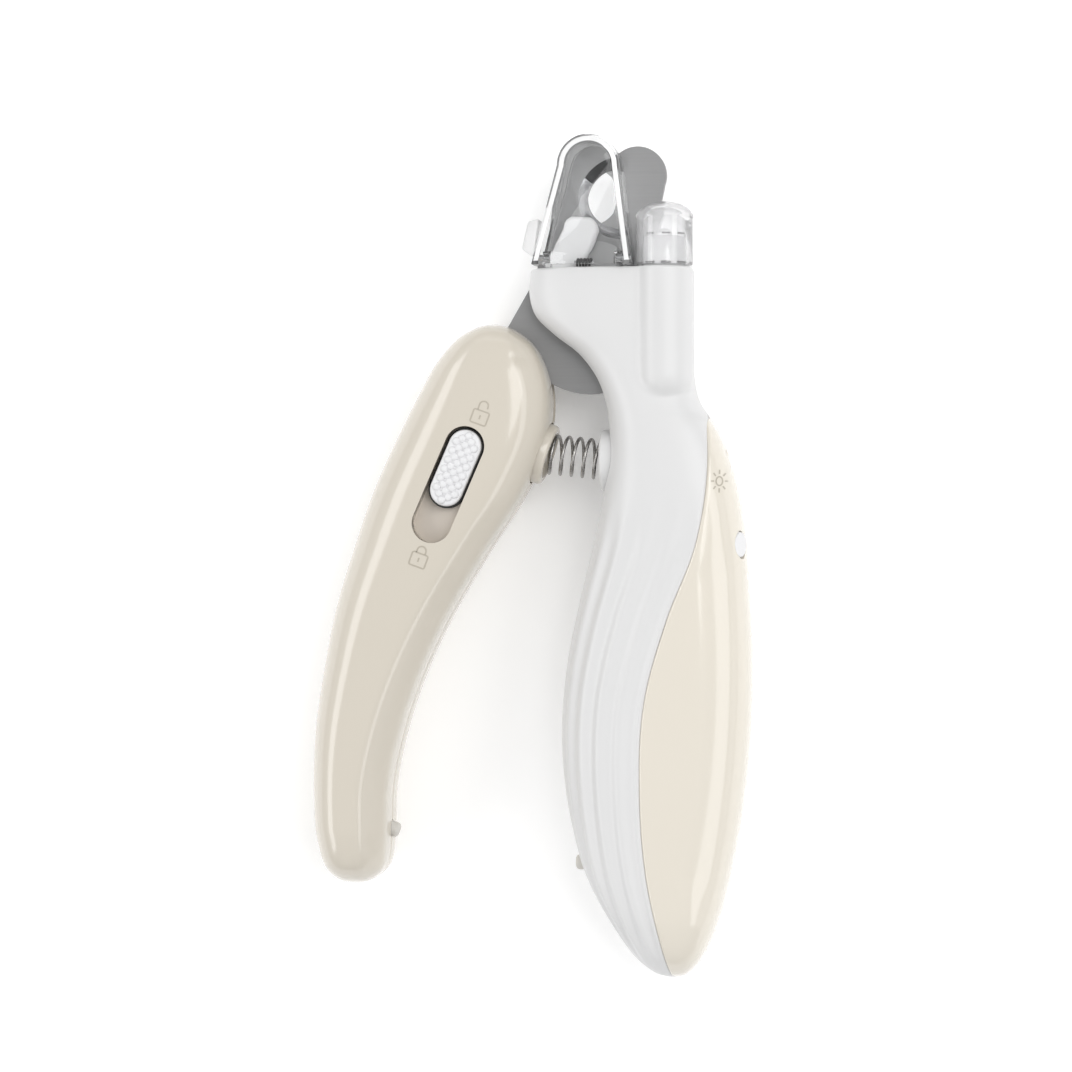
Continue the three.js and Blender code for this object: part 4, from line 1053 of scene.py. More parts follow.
front_grids, back_grids, cover_front_grids = [], [], []
for y, inset in grip_levels:
    ring = grip_ring(y)
    change = flutes_at(y)
    front_angle, back_angle = seam_angle(ring, y, front_seam), seam_angle(ring, y, back_seam)

    def pressed(share, total, inset=inset, change=change):
        return change(share, total) - inset

    def drawn_in(share, total, inset=inset):
        return -inset

    front_grids.append(sector(ring, math.pi, front_angle, 96, 0.3, pressed, grip_wall(y)))
    back_grids.append(sector(ring, -back_angle, -math.pi, 64, 0.3, drawn_in, grip_wall(y)))
    if front_angle > 0.02 and back_angle > 0.02:
        cover_front_grids.append(sector(ring, front_angle, -back_angle, 96, 0.3, drawn_in, 1.8))
print(len(cover_front_grids), "rings on the cover")

# %% Build the three mouldings
grip_front = shell("grip_front", np.array([g[0] for g in front_grids]), np.array([g[1] for g in front_grids]))
grip_back = shell("grip_back", np.array([g[0] for g in back_grids]), np.array([g[1] for g in back_grids]))
grip_cover = shell("grip_cover", np.array([g[0] for g in cover_front_grids]),
                   np.array([g[1] for g in cover_front_grids]))
cover_surface = tree_of(grip_cover)

# %% [markdown]
# ## Cutting the head
#
# The head is a fork: the blades pass through it in two slots, the lamp sits in a bore, and the pivot bolt's head
# and shank sink into round holes in the back half. Two small clear eyes on top carry the guard's pins.

# %% Cut the grip
PIN_Y, PIN_Z = (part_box("guard_pin")[0].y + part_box("guard_pin")[1].y) / 2 / MM, box_mm("guard_pin")[0][2] + 0.6
DISC_RADIUS = 13.7
BOLT_RADIUS, BOLT_HEAD = 3.0, 5.5
STOP_LOW, STOP_HIGH = box_mm("nail_stop")[0][2], box_mm("nail_stop")[1][2]
moving_slot = [(-20, -14), (-20, 9.4), (11.6, 9.4), (11.6, 4), (6, -9), (-8, down(15))]
fixed_slot = [(-20, -14), (-20, 9.4), (8.4, 9.4), (9.6, 0), (14.3, down(18.6)), (14.3, down(21)),
              (4, down(21)),
              (-8, down(15))]
BATTERY = (9, down(56.3))
DOOR_RADIUS = 7


def head_cuts():
    """Cutters that both white halves share."""
    return [
        prism("moving_slot", moving_slot, FORK_LOW, MIDDLE + 0.05),
        post("disc_slot", 0, 0, DISC_RADIUS + 0.3, FORK_LOW, MIDDLE + 0.06, 120),
        prism("fixed_slot", fixed_slot, MIDDLE - 0.05, FORK_HIGH),
        seat_hole("seat_cut", GRIP_SEAT, GRIP_SEAT_WAY),
        rod("bumper_cut", along(GRIP_BUMPER, (1, 0, 0), 4), along(GRIP_BUMPER, (1, 0, 0), -2), 1.5),
    ]


lamp_z = MIDDLE + LAMP_Z
combine(grip_front, head_cuts() + [
    rod("bore", (LAMP_X, HEAD_TOP + 2, lamp_z), (LAMP_X, -8.6, lamp_z), 4.0),
    slab("stop_pocket", -7.6, 1.6, HEAD_TOP - 2.9, PIN_Y + 2, FORK_HIGH - 0.5, STOP_HIGH + 0.1),
])
eyes = []
EYES = (-6.8, 5.8)
EYE_WIDTH, EYE_RADIUS, PIN_CLEAR = 1.0, 0.85, 0.5
for left in EYES:
    eye = rod("eye", (left, PIN_Y, PIN_Z), (left + EYE_WIDTH, PIN_Y, PIN_Z), EYE_RADIUS, 48)
    combine(eye, [slab("neck", left, left + EYE_WIDTH, HEAD_TOP - 0.1, PIN_Y + 0.6, 17.2, PIN_Z)], "UNION")
    eyes.append(eye)
hinge_eyes = combine(eyes[0], eyes[1:], "UNION")
hinge_eyes.name = "hinge_eyes"
combine(hinge_eyes, [rod("pin_hole", (-12, PIN_Y, PIN_Z), (12, PIN_Y, PIN_Z), PIN_CLEAR, 24)])
soften(hinge_eyes, 0.08, 2, 50)
finish_piece(hinge_eyes, CLEAR, "grip", slot="clear", angle=35)
door_ring = turned("door_ring", [(DOOR_RADIUS + 0.3, 0.9), (DOOR_RADIUS + 2, 0.9), (DOOR_RADIUS + 2, 3.6),
                                 (DOOR_RADIUS + 0.3, 3.6)], (*BATTERY, 0), (0, 0, 1), 96)
combine(grip_back, head_cuts() + [
    post("head_well", 0, 0, BOLT_HEAD + 0.3, -1, MIDDLE - HALF_HEAD + 0.3),
    post("shank_hole", 0, 0, BOLT_RADIUS + 0.3, -1, MIDDLE),
    post("door_hole", *BATTERY, DOOR_RADIUS + 0.3, -1, 5, 96),
    *[well("well", place) for place in GRIP_SCREWS.values()],
])
finish_piece(grip_front, WHITE, "grip", "grip_front_shell", slot="white", angle=40)
finish_piece(grip_back, WHITE, "grip", "grip_back_shell", slot="white", angle=40)
finish_piece(door_ring, WHITE, "grip", slot="white")
print("grip:", len(grip_front.data.polygons), len(grip_back.data.polygons), "faces")

# %% The light button in the cover
BUTTON_TILT = math.radians(24)
BUTTON_WAY = (math.cos(BUTTON_TILT), 0, math.sin(BUTTON_TILT))
BUTTON_FACE = (27.4, down(34.6), MIDDLE + 5)
combine(grip_cover, [rod("button_cut", along(BUTTON_FACE, BUTTON_WAY, -9),
                         along(BUTTON_FACE, BUTTON_WAY, 4), 2.5)])
finish_piece(grip_cover, COVER_CREAM_PAINTED_LIGHTER, "grip", "grip_cover", slot="cream", angle=40)
button = turned("push_button", [(0, -3.5), (2.35, -3.5), (2.35, -0.5), (2.27, -0.2), (2.05, 0), (0, 0.12)],
                BUTTON_FACE, BUTTON_WAY, 64)
finish_piece(button, MATTE_WHITE, "light_button", "light_button", slot="white")
print("cover:", len(grip_cover.data.polygons), "faces")

# %% [markdown]
# ## The blades
#
# Both blades are flat plates with their flat faces together. The fixed one has a conical bevel round its
# notch on the side you see; the moving one has it on the far side. A cone cut through the plate makes that
# bevel, because a grinder makes it the same way, and a small chamfer catches the light along the outline.

# %% Fixed blade
NOTCH = (5.6, 21.1)
NOTCH_RADIUS = 5.07
GRIND = 2.3
BOLT_CLEAR = 3.3
fixed_outline = [(-7.4, 8), (-5.1, 26)] + arc((0, 26), 5.1, 180, 3.6, 60)[1:]
fixed_outline += [(7.2, 16), (7.6, 8), (9, 0), (13.6, down(18)), (12.4, down(19.6)), (8, down(19.6)),
                  (7.6, down(16.3)), (4.6, down(15.5)), (4.4, -14.6), (2.9, -11), (0.0, -6.9), (-4.4, -3.2),
                  (-8.2, 1.0), (-8.6, 4.0)]
fixed_blade = prism("fixed_blade_plate", fixed_outline, FIXED_LOW, FIXED_HIGH)
combine(fixed_blade, [
    post("notch", *NOTCH, NOTCH_RADIUS, 0, 40, 120),
    turned("grind", [(0, -3), (NOTCH_RADIUS, 0.3), (NOTCH_RADIUS + GRIND + 1.3, GRIND + 1.2), (0, 3.5)],
           (*NOTCH, FIXED_LOW), (0, 0, 1), 120),
    post("bolt_hole", 0, 0, BOLT_CLEAR, 0, 40),
    post("screw_hole", *GRIP_SCREWS["grip_screw_1"], 3.0, 0, 40),
])
soften(fixed_blade, 0.1, 2)
GROUND_REACH = 8.9
DARK_REFLECTION_FROM, DARK_REFLECTION_TO = 60, 150


def paint_notch_reflections(piece, notch):
    """Gives the ground cone round a notch two steels by position: a painted dark reflection across the top, and
    below it a brighter polished steel that is partly a painted highlight.
    """
    piece.data.materials.append(POLISHED_EDGE_AND_HIGHLIGHT)
    piece.data.materials.append(PAINTED_DARK_REFLECTION)
    for polygon in piece.data.polygons:
        # Cone faces between the two angles get the dark steel as a painted dark reflection; the rest get the
        # bright steel, which is partly a painted highlight.
        x, y, _ = polygon.center / MM
        if math.hypot(x - notch[0], y - notch[1]) < GROUND_REACH and abs(polygon.normal.z) < 0.9:
            around = math.degrees(math.atan2(y - notch[1], x - notch[0]))
            polygon.material_index = 2 if DARK_REFLECTION_FROM < around < DARK_REFLECTION_TO else 1


finish_piece(fixed_blade, FIXED_STEEL, "grip", "fixed_blade", slot="steel", angle=25)
paint_notch_reflections(fixed_blade, NOTCH)

# %% Moving blade


def opened(points):
    """Points drawn with the blade closed, turned to where it rests open."""
    cosine, sine = math.cos(CLOSE_ANGLE), math.sin(CLOSE_ANGLE)
    return [(x * cosine + y * sine, -x * sine + y * cosine) for x, y in points]


beak_outline = opened([(9, 0), (7.4, 8), (5.1, 26.6)] + arc((0, 26.6), 5.1, 0, 180, 60)[1:]
                      + [(-7.2, 16), (-7.6, 8), (-9, 0)])
moving_notch = opened([(-6.7, 20.6)])[0]
beak = prism("beak", beak_outline, MOVING_LOW, MOVING_HIGH)
disc = post("disc", 0, 0, DISC_RADIUS, MOVING_LOW, MOVING_HIGH, 160)
combine(disc, [prism("side_cut", [(-11.2, 4.5), (-9.4, 7.6), (-9.4, 20), (-40, 20), (-40, down(1.2)),
                                  (-14.6, down(1.2))], 0, 40)])
tang = prism("tang", [(-11.2, 4.5), (-14.6, down(1.2)), (-21, down(8)), (-27.5, down(20)), (-30, down(29)),
                      (-26, down(31)), (-20, down(28)), (-16.4, down(24)), (-15.4, down(17)),
                      (-11.4, down(14.2)), (-9.6, down(11)), (-3.5, -9), (0, 0), (-2, 9)],
             MOVING_LOW, MOVING_HIGH)
moving_blade = combine(beak, [disc, tang], "UNION")
moving_blade.name = "moving_blade_plate"
combine(moving_blade, [
    post("notch", *moving_notch, NOTCH_RADIUS, 0, 40, 120),
    turned("grind", [(0, 3), (NOTCH_RADIUS, -0.3), (NOTCH_RADIUS + GRIND + 1.3, -GRIND - 1.2), (0, -3.5)],
           (*moving_notch, MOVING_HIGH), (0, 0, 1), 120),
    post("bolt_hole", 0, 0, BOLT_CLEAR, 0, 40),
])
soften(moving_blade, 0.1, 2)
finish_piece(moving_blade, BLADE, "lever", "moving_blade", slot="steel", angle=25)
paint_notch_reflections(moving_blade, moving_notch)
print("blades:", len(fixed_blade.data.polygons), len(moving_blade.data.polygons), "faces")

# %% [markdown]
# ## Hub plate, pivot bolt and nut
#
# A thin spring plate keeps the blades pressed together. The pivot's head is seen from the back: a low dome
# with a coin slot. The nut is closed in behind the white front, so it only needs its six sides and a
# chamfer.

# %% Pivot
hub_low, hub_high = box_mm("hub_plate")[0][2], box_mm("hub_plate")[1][2]
hub_plate = post("hub_spring_plate", 0, 0, DISC_RADIUS, hub_low, hub_high, 160)
hub_keep = slab("keep", -6, 5.6, 0, 14.7, 0, 40)
combine(hub_plate, [hub_keep], "INTERSECT")
combine(hub_plate, [post("hole", 0, 0, 3.3, 0, 40)])
soften(hub_plate, 0.12, 2)
finish_piece(hub_plate, BLADE, "grip", "hub_plate", slot="steel", angle=25)
bolt = turned("pivot_bolt_turned", [(0, 0.15), (3.6, 0.15), (4.9, 0.35), (5.35, 0.7), (5.5, 1.2), (5.5, 2.5),
                                    (3, 2.5), (3, 17.8), (2.7, 18.1), (0, 18.1)], (0, 0, 0), (0, 0, 1), 96)
combine(bolt, [slab("coin_slot", -4.2, 4.2, -0.6, 0.6, -1, 1.0)])
soften(bolt, 0.08, 2, 50)
finish_piece(bolt, BRIGHT, "grip", "pivot_bolt", slot="steel", angle=30)
nut = prism("pivot_nut_hex", arc((0, 0), 4.3, 0, 300, 5), 16.5, 17.4)
combine(nut, [post("hole", 0, 0, 3.3, 0, 40)])
soften(nut, 0.15, 2)
finish_piece(nut, BRIGHT, "grip", "pivot_nut", slot="steel", angle=30)
print("pivot done")

# %% [markdown]
# ## The lamp
#
# A clear cap with a low dome stands on the barrel, over a white holder with a small bulb. Two rings of short
# black dashes stand inside the cap as painted shade, where its clips and its foot catch no light. The dashes
# repeat round a circle, so a small tree sets them out: how many, how long and how thick are inputs.

# %% Lamp cap, holder and bulb
LAMP_FOOT = (LAMP_X, HEAD_TOP + 0.3, lamp_z)
UP_Y = (0, 1, 0)
dome = [(5.0 * math.cos(a), 8.5 + 2.7 * math.sin(a)) for a in np.radians(np.linspace(12, 90, 12))]
cap_profile = [(4.0, 0), (4.92, 0), (5.0, 0.1), (5.0, 8.1), (5.12, 8.35), (5.1, 8.7)] + dome[1:-1]
cap_profile += [(0, 11.2), (0, 10.2), (2.4, 9.8), (3.6, 9.0), (4.0, 8.0)]
lamp_cap = turned("lamp_cap", cap_profile, LAMP_FOOT, UP_Y, 96)
finish_piece(lamp_cap, LENS, "grip", "lamp_lens", slot="clear", angle=35)
holder = turned("lamp_holder_turned",
                [(0, -15.1), (3.6, -15.1), (3.6, -1), (3.7, -0.4), (3.7, 4.9), (3.55, 5.1),
                                       (3.2, 5.1), (2.6, 3.4), (1.9, 2.5), (0, 2.4)], LAMP_FOOT, UP_Y, 80)
finish_piece(holder, HOLDER_WHITE_PAINTED_SHADE, "grip", "lamp_holder", slot="white", angle=45)
bulb_dome = [(1.5 * math.cos(a), 5.6 + 1.5 * math.sin(a)) for a in np.radians(np.linspace(0, 90, 10))]
bulb = turned("bulb", [(0, 2.7), (1.5, 2.7)] + bulb_dome, LAMP_FOOT, UP_Y, 48)
finish_piece(bulb, LENS, "grip", "lamp", slot="clear")

# %% Dashed rings of painted shade in the lamp
dash_tree, given, result = node_tree("Dashes round a circle", [
    ("Radius", "NodeSocketFloat", 0.0039), ("Count", "NodeSocketInt", 14),
    ("Dash length", "NodeSocketFloat", 0.001),
    ("Thickness", "NodeSocketFloat", 0.0003), ("Material", "NodeSocketMaterial", None)])
circle = place_node(dash_tree, "GeometryNodeCurvePrimitiveCircle", [("Radius", given["Radius"])],
                    Resolution=64)
points = place_node(dash_tree, "GeometryNodeCurveToPoints",
                    [("Curve", circle.outputs["Curve"]), ("Count", given["Count"])], mode="COUNT")
size = place_node(dash_tree, "ShaderNodeCombineXYZ",
                  [("X", given["Thickness"]), ("Y", given["Thickness"]), ("Z", given["Dash length"])])
dash = place_node(dash_tree, "GeometryNodeMeshCube", [("Size", size.outputs["Vector"])])
set_out = place_node(dash_tree, "GeometryNodeInstanceOnPoints",
                     [("Points", points.outputs["Points"]), ("Instance", dash.outputs["Mesh"]),
                      ("Rotation", points.outputs["Rotation"])])
close_tree(dash_tree, set_out.outputs["Instances"], given, result)
to_lamp = Matrix.Rotation(-math.pi / 2, 4, "X")
# Each dash is a black piece standing for painted shade where the cap's clips and foot catch no light.
for label, lift, radius, length in (("upper", 5.45, 3.85, 1.25), ("lower", 0.35, 3.95, 1.7)):
    dashes = grow(f"lamp_shade_dashes_{label}", dash_tree, Radius=radius * MM, Count=9, Thickness=0.26 * MM,
                  Material=BLACK, **{"Dash length": length * MM})
    bake_place(dashes, Matrix.Translation(Vector(along(LAMP_FOOT, UP_Y, lift)) * MM) @ to_lamp)
    finish_piece(dashes, BLACK, "grip", slot="black")
print("lamp done")

# %% [markdown]
# ## The clear guard
#
# The guard is a hood of clear plastic, hinged on two short steel pins at the head's top. It is a U-shaped wall
# with a thin front, a frosted tab on the left to lift it by, and a thin whitish strip along its front edge that
# is a painted highlight.
# Its edges are rounded, because clear parts show their shape almost only through the light and dark lines
# of their edges. The foot is cut back round the two eyes, so that the guard can turn 85 degrees without
# touching them.

# %% Guard
GUARD_LEFT, GUARD_RIGHT, GUARD_WALL, CAP_X = -9.0, 8.6, 1.4, 1.0
GUARD_LOW, GUARD_BASE, CAP_Y, CAP_RADIUS = FIXED_HIGH + 0.3, HEAD_TOP + 0.3, 26.0, 5.45


def guard_outline(inset, base):
    """The guard's inverted U, moved inward."""
    cap = arc((CAP_X, CAP_Y), CAP_RADIUS - inset, 180, 0, 48)
    return [(GUARD_LEFT + inset, base)] + cap + [(GUARD_RIGHT - inset, base)]


guard = prism("clear_guard", guard_outline(0, GUARD_BASE), GUARD_LOW, THICKNESS)
combine(guard, [prism("inside", guard_outline(GUARD_WALL, GUARD_BASE - 1), 0, THICKNESS - GUARD_WALL)])
tab = prism("tab", [(-9.9, 16.4), (-7.9, 16.9), (-8.9, 9.9), (-11, 11.6)], 15.4, 20)
soften(tab, 0.4)
combine(guard, [rod("pin_hole", (left, PIN_Y, PIN_Z), (left + 3, PIN_Y, PIN_Z), PIN_CLEAR, 32)
                for left in (-8.6, 5.7)])
GAP_SIDE, GAP_RADIUS = 0.2, 1.1
gaps = [(left - GAP_SIDE, left + EYE_WIDTH + GAP_SIDE) for left in EYES]
combine(guard, [rod("eye_gap", (low, PIN_Y, PIN_Z), (high, PIN_Y, PIN_Z), GAP_RADIUS, 48)
                for low, high in gaps])
combine(guard, [slab("foot_gap", low, high, GUARD_BASE - 1, PIN_Y, 19.4, THICKNESS + 1)
                for low, high in gaps])
soften(guard, 0.3, 3, 40)
finish_piece(guard, CLEAR, "guard", "guard", slot="clear", angle=30)
finish_piece(tab, FROST, "guard", slot="clear", angle=30)
# A thin whitish strip along the guard's front edge: a painted highlight, not a part of the guard.
HIGHLIGHT_RIM_OUTER, HIGHLIGHT_RIM_INNER, HIGHLIGHT_RIM_FOOT = 0.35, 1.2, GUARD_BASE + 0.6
highlight_rim_outline = guard_outline(HIGHLIGHT_RIM_OUTER, HIGHLIGHT_RIM_FOOT) + list(reversed(guard_outline(HIGHLIGHT_RIM_INNER, HIGHLIGHT_RIM_FOOT)))
guard_highlight_rim = prism("guard_highlight_rim", highlight_rim_outline, THICKNESS - 0.12, THICKNESS + 0.1)
soften(guard_highlight_rim, 0.06, 2, 40)
finish_piece(guard_highlight_rim, PAINTED_HIGHLIGHT_RIM, "guard", slot="clear", angle=30)
pins = [turned("hinge_pins", [(0, 0), (0.32, 0), (0.4, 0.08), (0.4, 2.5), (0.32, 2.6), (0, 2.6)],
               (left, PIN_Y, PIN_Z), (1, 0, 0), 40) for left in (-8.4, 5.9)]
pin = combine(pins[0], pins[1:], "UNION")
finish_piece(pin, BRIGHT, "grip", "guard_pin", slot="steel")
print("guard:", len(guard.data.polygons), "faces")

# %% [markdown]
# ## Coils
#
# Two parts are coils: the small spring on the guard's pin, seen as a striped detail, and the big return
# spring. One tree makes both: a spiral swept with a small circle. Its inputs are the radius, the
# length, the turns and the wire.

# %% Coil tree
coil_tree, given, result = node_tree("Coil", [
    ("Radius", "NodeSocketFloat", 0.0034), ("Length", "NodeSocketFloat", 0.01),
    ("Turns", "NodeSocketFloat", 6.0),
    ("Wire radius", "NodeSocketFloat", 0.0003), ("Material", "NodeSocketMaterial", None)])
spiral = place_node(coil_tree, "GeometryNodeCurveSpiral",
                    [("Rotations", given["Turns"]), ("Start Radius", given["Radius"]),
                     ("End Radius", given["Radius"]),
                     ("Height", given["Length"])], Resolution=48)
wire = place_node(coil_tree, "GeometryNodeCurvePrimitiveCircle", [("Radius", given["Wire radius"])],
                  Resolution=12)
swept = place_node(coil_tree, "GeometryNodeCurveToMesh",
                   [("Curve", spiral.outputs["Curve"]), ("Profile Curve", wire.outputs["Curve"])])
swept.inputs["Fill Caps"].default_value = True
close_tree(coil_tree, swept.outputs["Mesh"], given, result)


def coil_between(name, start, end, radius, turns, wire_radius, material):
    """A coil whose middle line runs between two points."""
    start, end = Vector(start), Vector(end)
    piece = grow(name, coil_tree, Radius=radius * MM, Length=(end - start).length * MM, Turns=float(turns),
                 Material=material, **{"Wire radius": wire_radius * MM})
    turn = Vector((0, 0, 1)).rotation_difference(end - start).to_matrix().to_4x4()
    return bake_place(piece, Matrix.Translation(start * MM) @ turn)


CATCH_Y, CATCH_Z = HEAD_TOP + 0.85, 18.6
pin_spring = coil_between("pin_spring", (-1.45, CATCH_Y, CATCH_Z), (1.25, CATCH_Y, CATCH_Z), 0.6, 5, 0.2,
                          BLACK)
catch_core = turned("catch_core", [(0, 0), (0.4, 0), (0.4, 3.2), (0, 3.2)], (-1.7, CATCH_Y, CATCH_Z),
                    (1, 0, 0), 32)
finish_piece(catch_core, BRIGHT, "grip", slot="steel")
finish_piece(pin_spring, BLACK, "grip", "guard_spring", slot="steel")
lever_end = along(LEVER_SEAT, LEVER_SEAT_WAY, -1.4)
grip_end = along(GRIP_SEAT, GRIP_SEAT_WAY, -1.4)
return_spring = coil_between("return_coil", grip_end, lever_end, 3.4, 6, 0.3, SPRING_STEEL)
return_spring.data.materials.clear()
return_spring.data.materials.append(SPRING_STEEL)
shade(return_spring)
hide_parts("return_spring")
print("return spring:", len(return_spring.data.polygons), "faces")

# %% [markdown]
# ## Nail stop, spring cups and bumpers
#
# The nail stop is a white finger that leans across the head: an outline with generous rounding. The cups hold
# the spring's ends, and the small rubber bumpers near the tips meet when the handles close.

# %% Nail stop
stop_outline = [(-7.2, 5.9), (-7.4, 8.0), (-3.7, 15.6)] + arc((-2.0, 15.9), 1.7, 165, 90, 8)
stop_outline += arc((0.3, 15.6), 1.9, 82, -20, 12) + [(1.4, 13.0), (-2.4, 5.9)]
nail_stop = prism("stop_finger", stop_outline, STOP_LOW, STOP_HIGH)
combine(nail_stop, [post("bolt_gap", 0, 0, BOLT_RADIUS + 0.6, 0, 40)])
soften(nail_stop, 0.75, 5, 30)
finish_piece(nail_stop, STOP_WHITE_PAINTED_SHADE, "grip", "nail_stop", slot="white", angle=50)

# %% Cups and bumpers
CUP = [(0, -5), (5.2, -5), (5.5, -4.7), (5.5, -0.6), (5.3, -0.15), (4.9, 0), (4.3, 0), (4.05, -0.2),
       (4.0, -2), (0, -2)]
lever_cup = turned("lever_cup", CUP, LEVER_SEAT, LEVER_SEAT_WAY, 96)
finish_piece(lever_cup, CREAM, "lever", "lever_spring_boss", slot="cream", angle=50)
grip_cup = turned("grip_cup", CUP, GRIP_SEAT, GRIP_SEAT_WAY, 96)
finish_piece(grip_cup, WHITE, "grip", "grip_spring_boss", slot="white", angle=50)
STUD = [(0, -3.4), (1.35, -3.4), (1.35, -0.6), (1.2, -0.2), (0.9, 0), (0, 0.05)]
lever_stud = turned("lever_stud", STUD, LEVER_BUMPER, LEVER_SEAT_WAY, 48)
finish_piece(lever_stud, RUBBER, "lever", "lever_bumper", slot="rubber", angle=50)
grip_stud = turned("grip_stud", STUD, GRIP_BUMPER, GRIP_SEAT_WAY, 48)
finish_piece(grip_stud, RUBBER, "grip", "grip_bumper", slot="rubber", angle=50)
print("cups and bumpers done")

# %% [markdown]
# ## Screws
#
# Five screws close the handles from the back. They are all alike, so one tree makes the screw once, with its
# cross recess cut by a boolean, and sets it on the points it is given. It runs once for each
# handle, because the two handles move apart.

# %% Screw tree
screw_tree, given, result = node_tree("Screws", [
    ("Head radius", "NodeSocketFloat", 0.0022), ("Head height", "NodeSocketFloat", 0.0014),
    ("Shank radius", "NodeSocketFloat", 0.0011), ("Shank length", "NodeSocketFloat", 0.012),
    ("Recess depth", "NodeSocketFloat", 0.0008), ("Material", "NodeSocketMaterial", None)])
group_input = next(node for node in screw_tree.nodes if node.bl_idname == "NodeGroupInput")
head = place_node(screw_tree, "GeometryNodeMeshCylinder",
                  [("Radius", given["Head radius"]), ("Depth", given["Head height"])], Vertices=40)
recess_long = math_node(screw_tree, "MULTIPLY", given["Head radius"], 1.3)
recess_short = math_node(screw_tree, "MULTIPLY", given["Head radius"], 0.28)
recess_deep = math_node(screw_tree, "MULTIPLY", given["Recess depth"], 2.0)
cross = place_node(screw_tree, "GeometryNodeJoinGeometry")
for first, second in ((recess_long, recess_short), (recess_short, recess_long)):
    arm_size = place_node(screw_tree, "ShaderNodeCombineXYZ",
                          [("X", first), ("Y", second), ("Z", recess_deep)])
    arm = place_node(screw_tree, "GeometryNodeMeshCube", [("Size", arm_size.outputs["Vector"])])
    screw_tree.links.new(arm.outputs["Mesh"], cross.inputs["Geometry"])
lower = math_node(screw_tree, "MULTIPLY", given["Head height"], -0.5)
lower_place = place_node(screw_tree, "ShaderNodeCombineXYZ", [("Z", lower)])
arms = place_node(screw_tree, "GeometryNodeTransform",
                  [("Geometry", cross.outputs["Geometry"]), ("Translation", lower_place.outputs["Vector"])])
cut_head = place_node(screw_tree, "GeometryNodeMeshBoolean", [("Mesh 1", head.outputs["Mesh"])],
                      operation="DIFFERENCE", solver="EXACT")
cut_head.inputs["Self Intersection"].default_value = True
screw_tree.links.new(arms.outputs["Geometry"], cut_head.inputs["Mesh 2"])
shank = place_node(screw_tree, "GeometryNodeMeshCylinder",
                   [("Radius", given["Shank radius"]), ("Depth", given["Shank length"])], Vertices=24)
shank_lift = math_node(screw_tree, "MULTIPLY", math_node(screw_tree, "ADD", given["Shank length"],
                                                         given["Head height"]), 0.5)
shank_place = place_node(screw_tree, "ShaderNodeCombineXYZ", [("Z", shank_lift)])
shank_up = place_node(screw_tree, "GeometryNodeTransform",
                      [("Geometry", shank.outputs["Mesh"]), ("Translation", shank_place.outputs["Vector"])])
whole = place_node(screw_tree, "GeometryNodeJoinGeometry")
screw_tree.links.new(cut_head.outputs["Mesh"], whole.inputs["Geometry"])
screw_tree.links.new(shank_up.outputs["Geometry"], whole.inputs["Geometry"])
set_out = place_node(screw_tree, "GeometryNodeInstanceOnPoints",
                     [("Points", group_input.outputs["Geometry"]), ("Instance", whole.outputs["Geometry"])])
close_tree(screw_tree, set_out.outputs["Instances"], given, result)
for body_name, places in (("grip", GRIP_SCREWS), ("lever", LEVER_SCREWS)):
    points = [(x * MM, y * MM, 2.1 * MM) for x, y in places.values()]
    screws = grow(f"{body_name}_screws", screw_tree, at=points, Material=BRIGHT)
    finish_piece(screws, BRIGHT, body_name, *places, slot="steel", angle=30)
print("screws done")

# %% Battery door
door = turned("coin_door",
              [(0, 0.35), (6.2, 0.35), (6.55, 0.1), (6.85, 0.2), (7.0, 0.5), (7.0, 1.6), (0, 1.6)],
              (*BATTERY, 0), (0, 0, 1), 96)
combine(door, [prism("coin_slot", arc((BATTERY[0] + 3.5, BATTERY[1]), 0.7, -90, 90, 10)
                     + arc((BATTERY[0] - 3.5, BATTERY[1]), 0.7, 90, 270, 10), -1, 1.0)])
soften(door, 0.08, 2, 50)
finish_piece(door, WHITE, "grip", "battery_door", slot="white", angle=35)
print("battery door done")

# %% [markdown]
# ## Printed marks
#
# Two small padlocks show which way the lock slides, one open and one closed, and a small sun sits above the
# light button. They are fine lines on a curved surface, so each line is a thin ribbon whose points are
# dropped onto the shell from above and raised by a few hundredths of a millimetre.

# %% Ribbons on a surface


def ribbon(name, paths, surface, width, lift=0.03):
    """Thin flat strips along paths, laid on a surface seen from above."""
    vertices, faces = [], []
    for path, closed in paths:
        path = np.array(path, float)
        ahead = np.roll(path, -1, axis=0) - np.roll(path, 1, axis=0)
        if not closed:
            ahead[0], ahead[-1] = path[1] - path[0], path[-1] - path[-2]
        side = np.stack([-ahead[:, 1], ahead[:, 0]], -1)
        side /= np.maximum(np.linalg.norm(side, axis=1, keepdims=True), 1e-9)
        base = len(vertices)
        for point, across in zip(path, side):
            for shift, height in ((-1, -0.12), (-1, lift), (1, lift), (1, -0.12)):
                x, y = point + across * shift * width / 2
                vertices.append((x, y, height_over(surface, x, y) + height))
        count = len(path)
        for i in range(count if closed else count - 1):
            here, there = base + i * 4, base + (i + 1) % count * 4
            faces += [(here + k, here + (k + 1) % 4, there + (k + 1) % 4, there + k) for k in range(4)]
        if not closed:
            faces += [(base, base + 3, base + 2, base + 1)]
            end = base + (count - 1) * 4
            faces += [(end, end + 1, end + 2, end + 3)]
    return make_piece(name, vertices, faces)


def fine(points, closed=False, pitch=0.16):
    """More points along straight lines, so a ribbon can bend with the surface."""
    points = [np.array(p, float) for p in points]
    ends = points[1:] + ([points[0]] if closed else [])
    result = []
    for start, end in zip(points, ends):
        count = max(1, int(np.linalg.norm(end - start) / pitch))
        result += [start + (end - start) * k / count for k in range(count)]
    if not closed:
        result.append(points[-1])
    return result


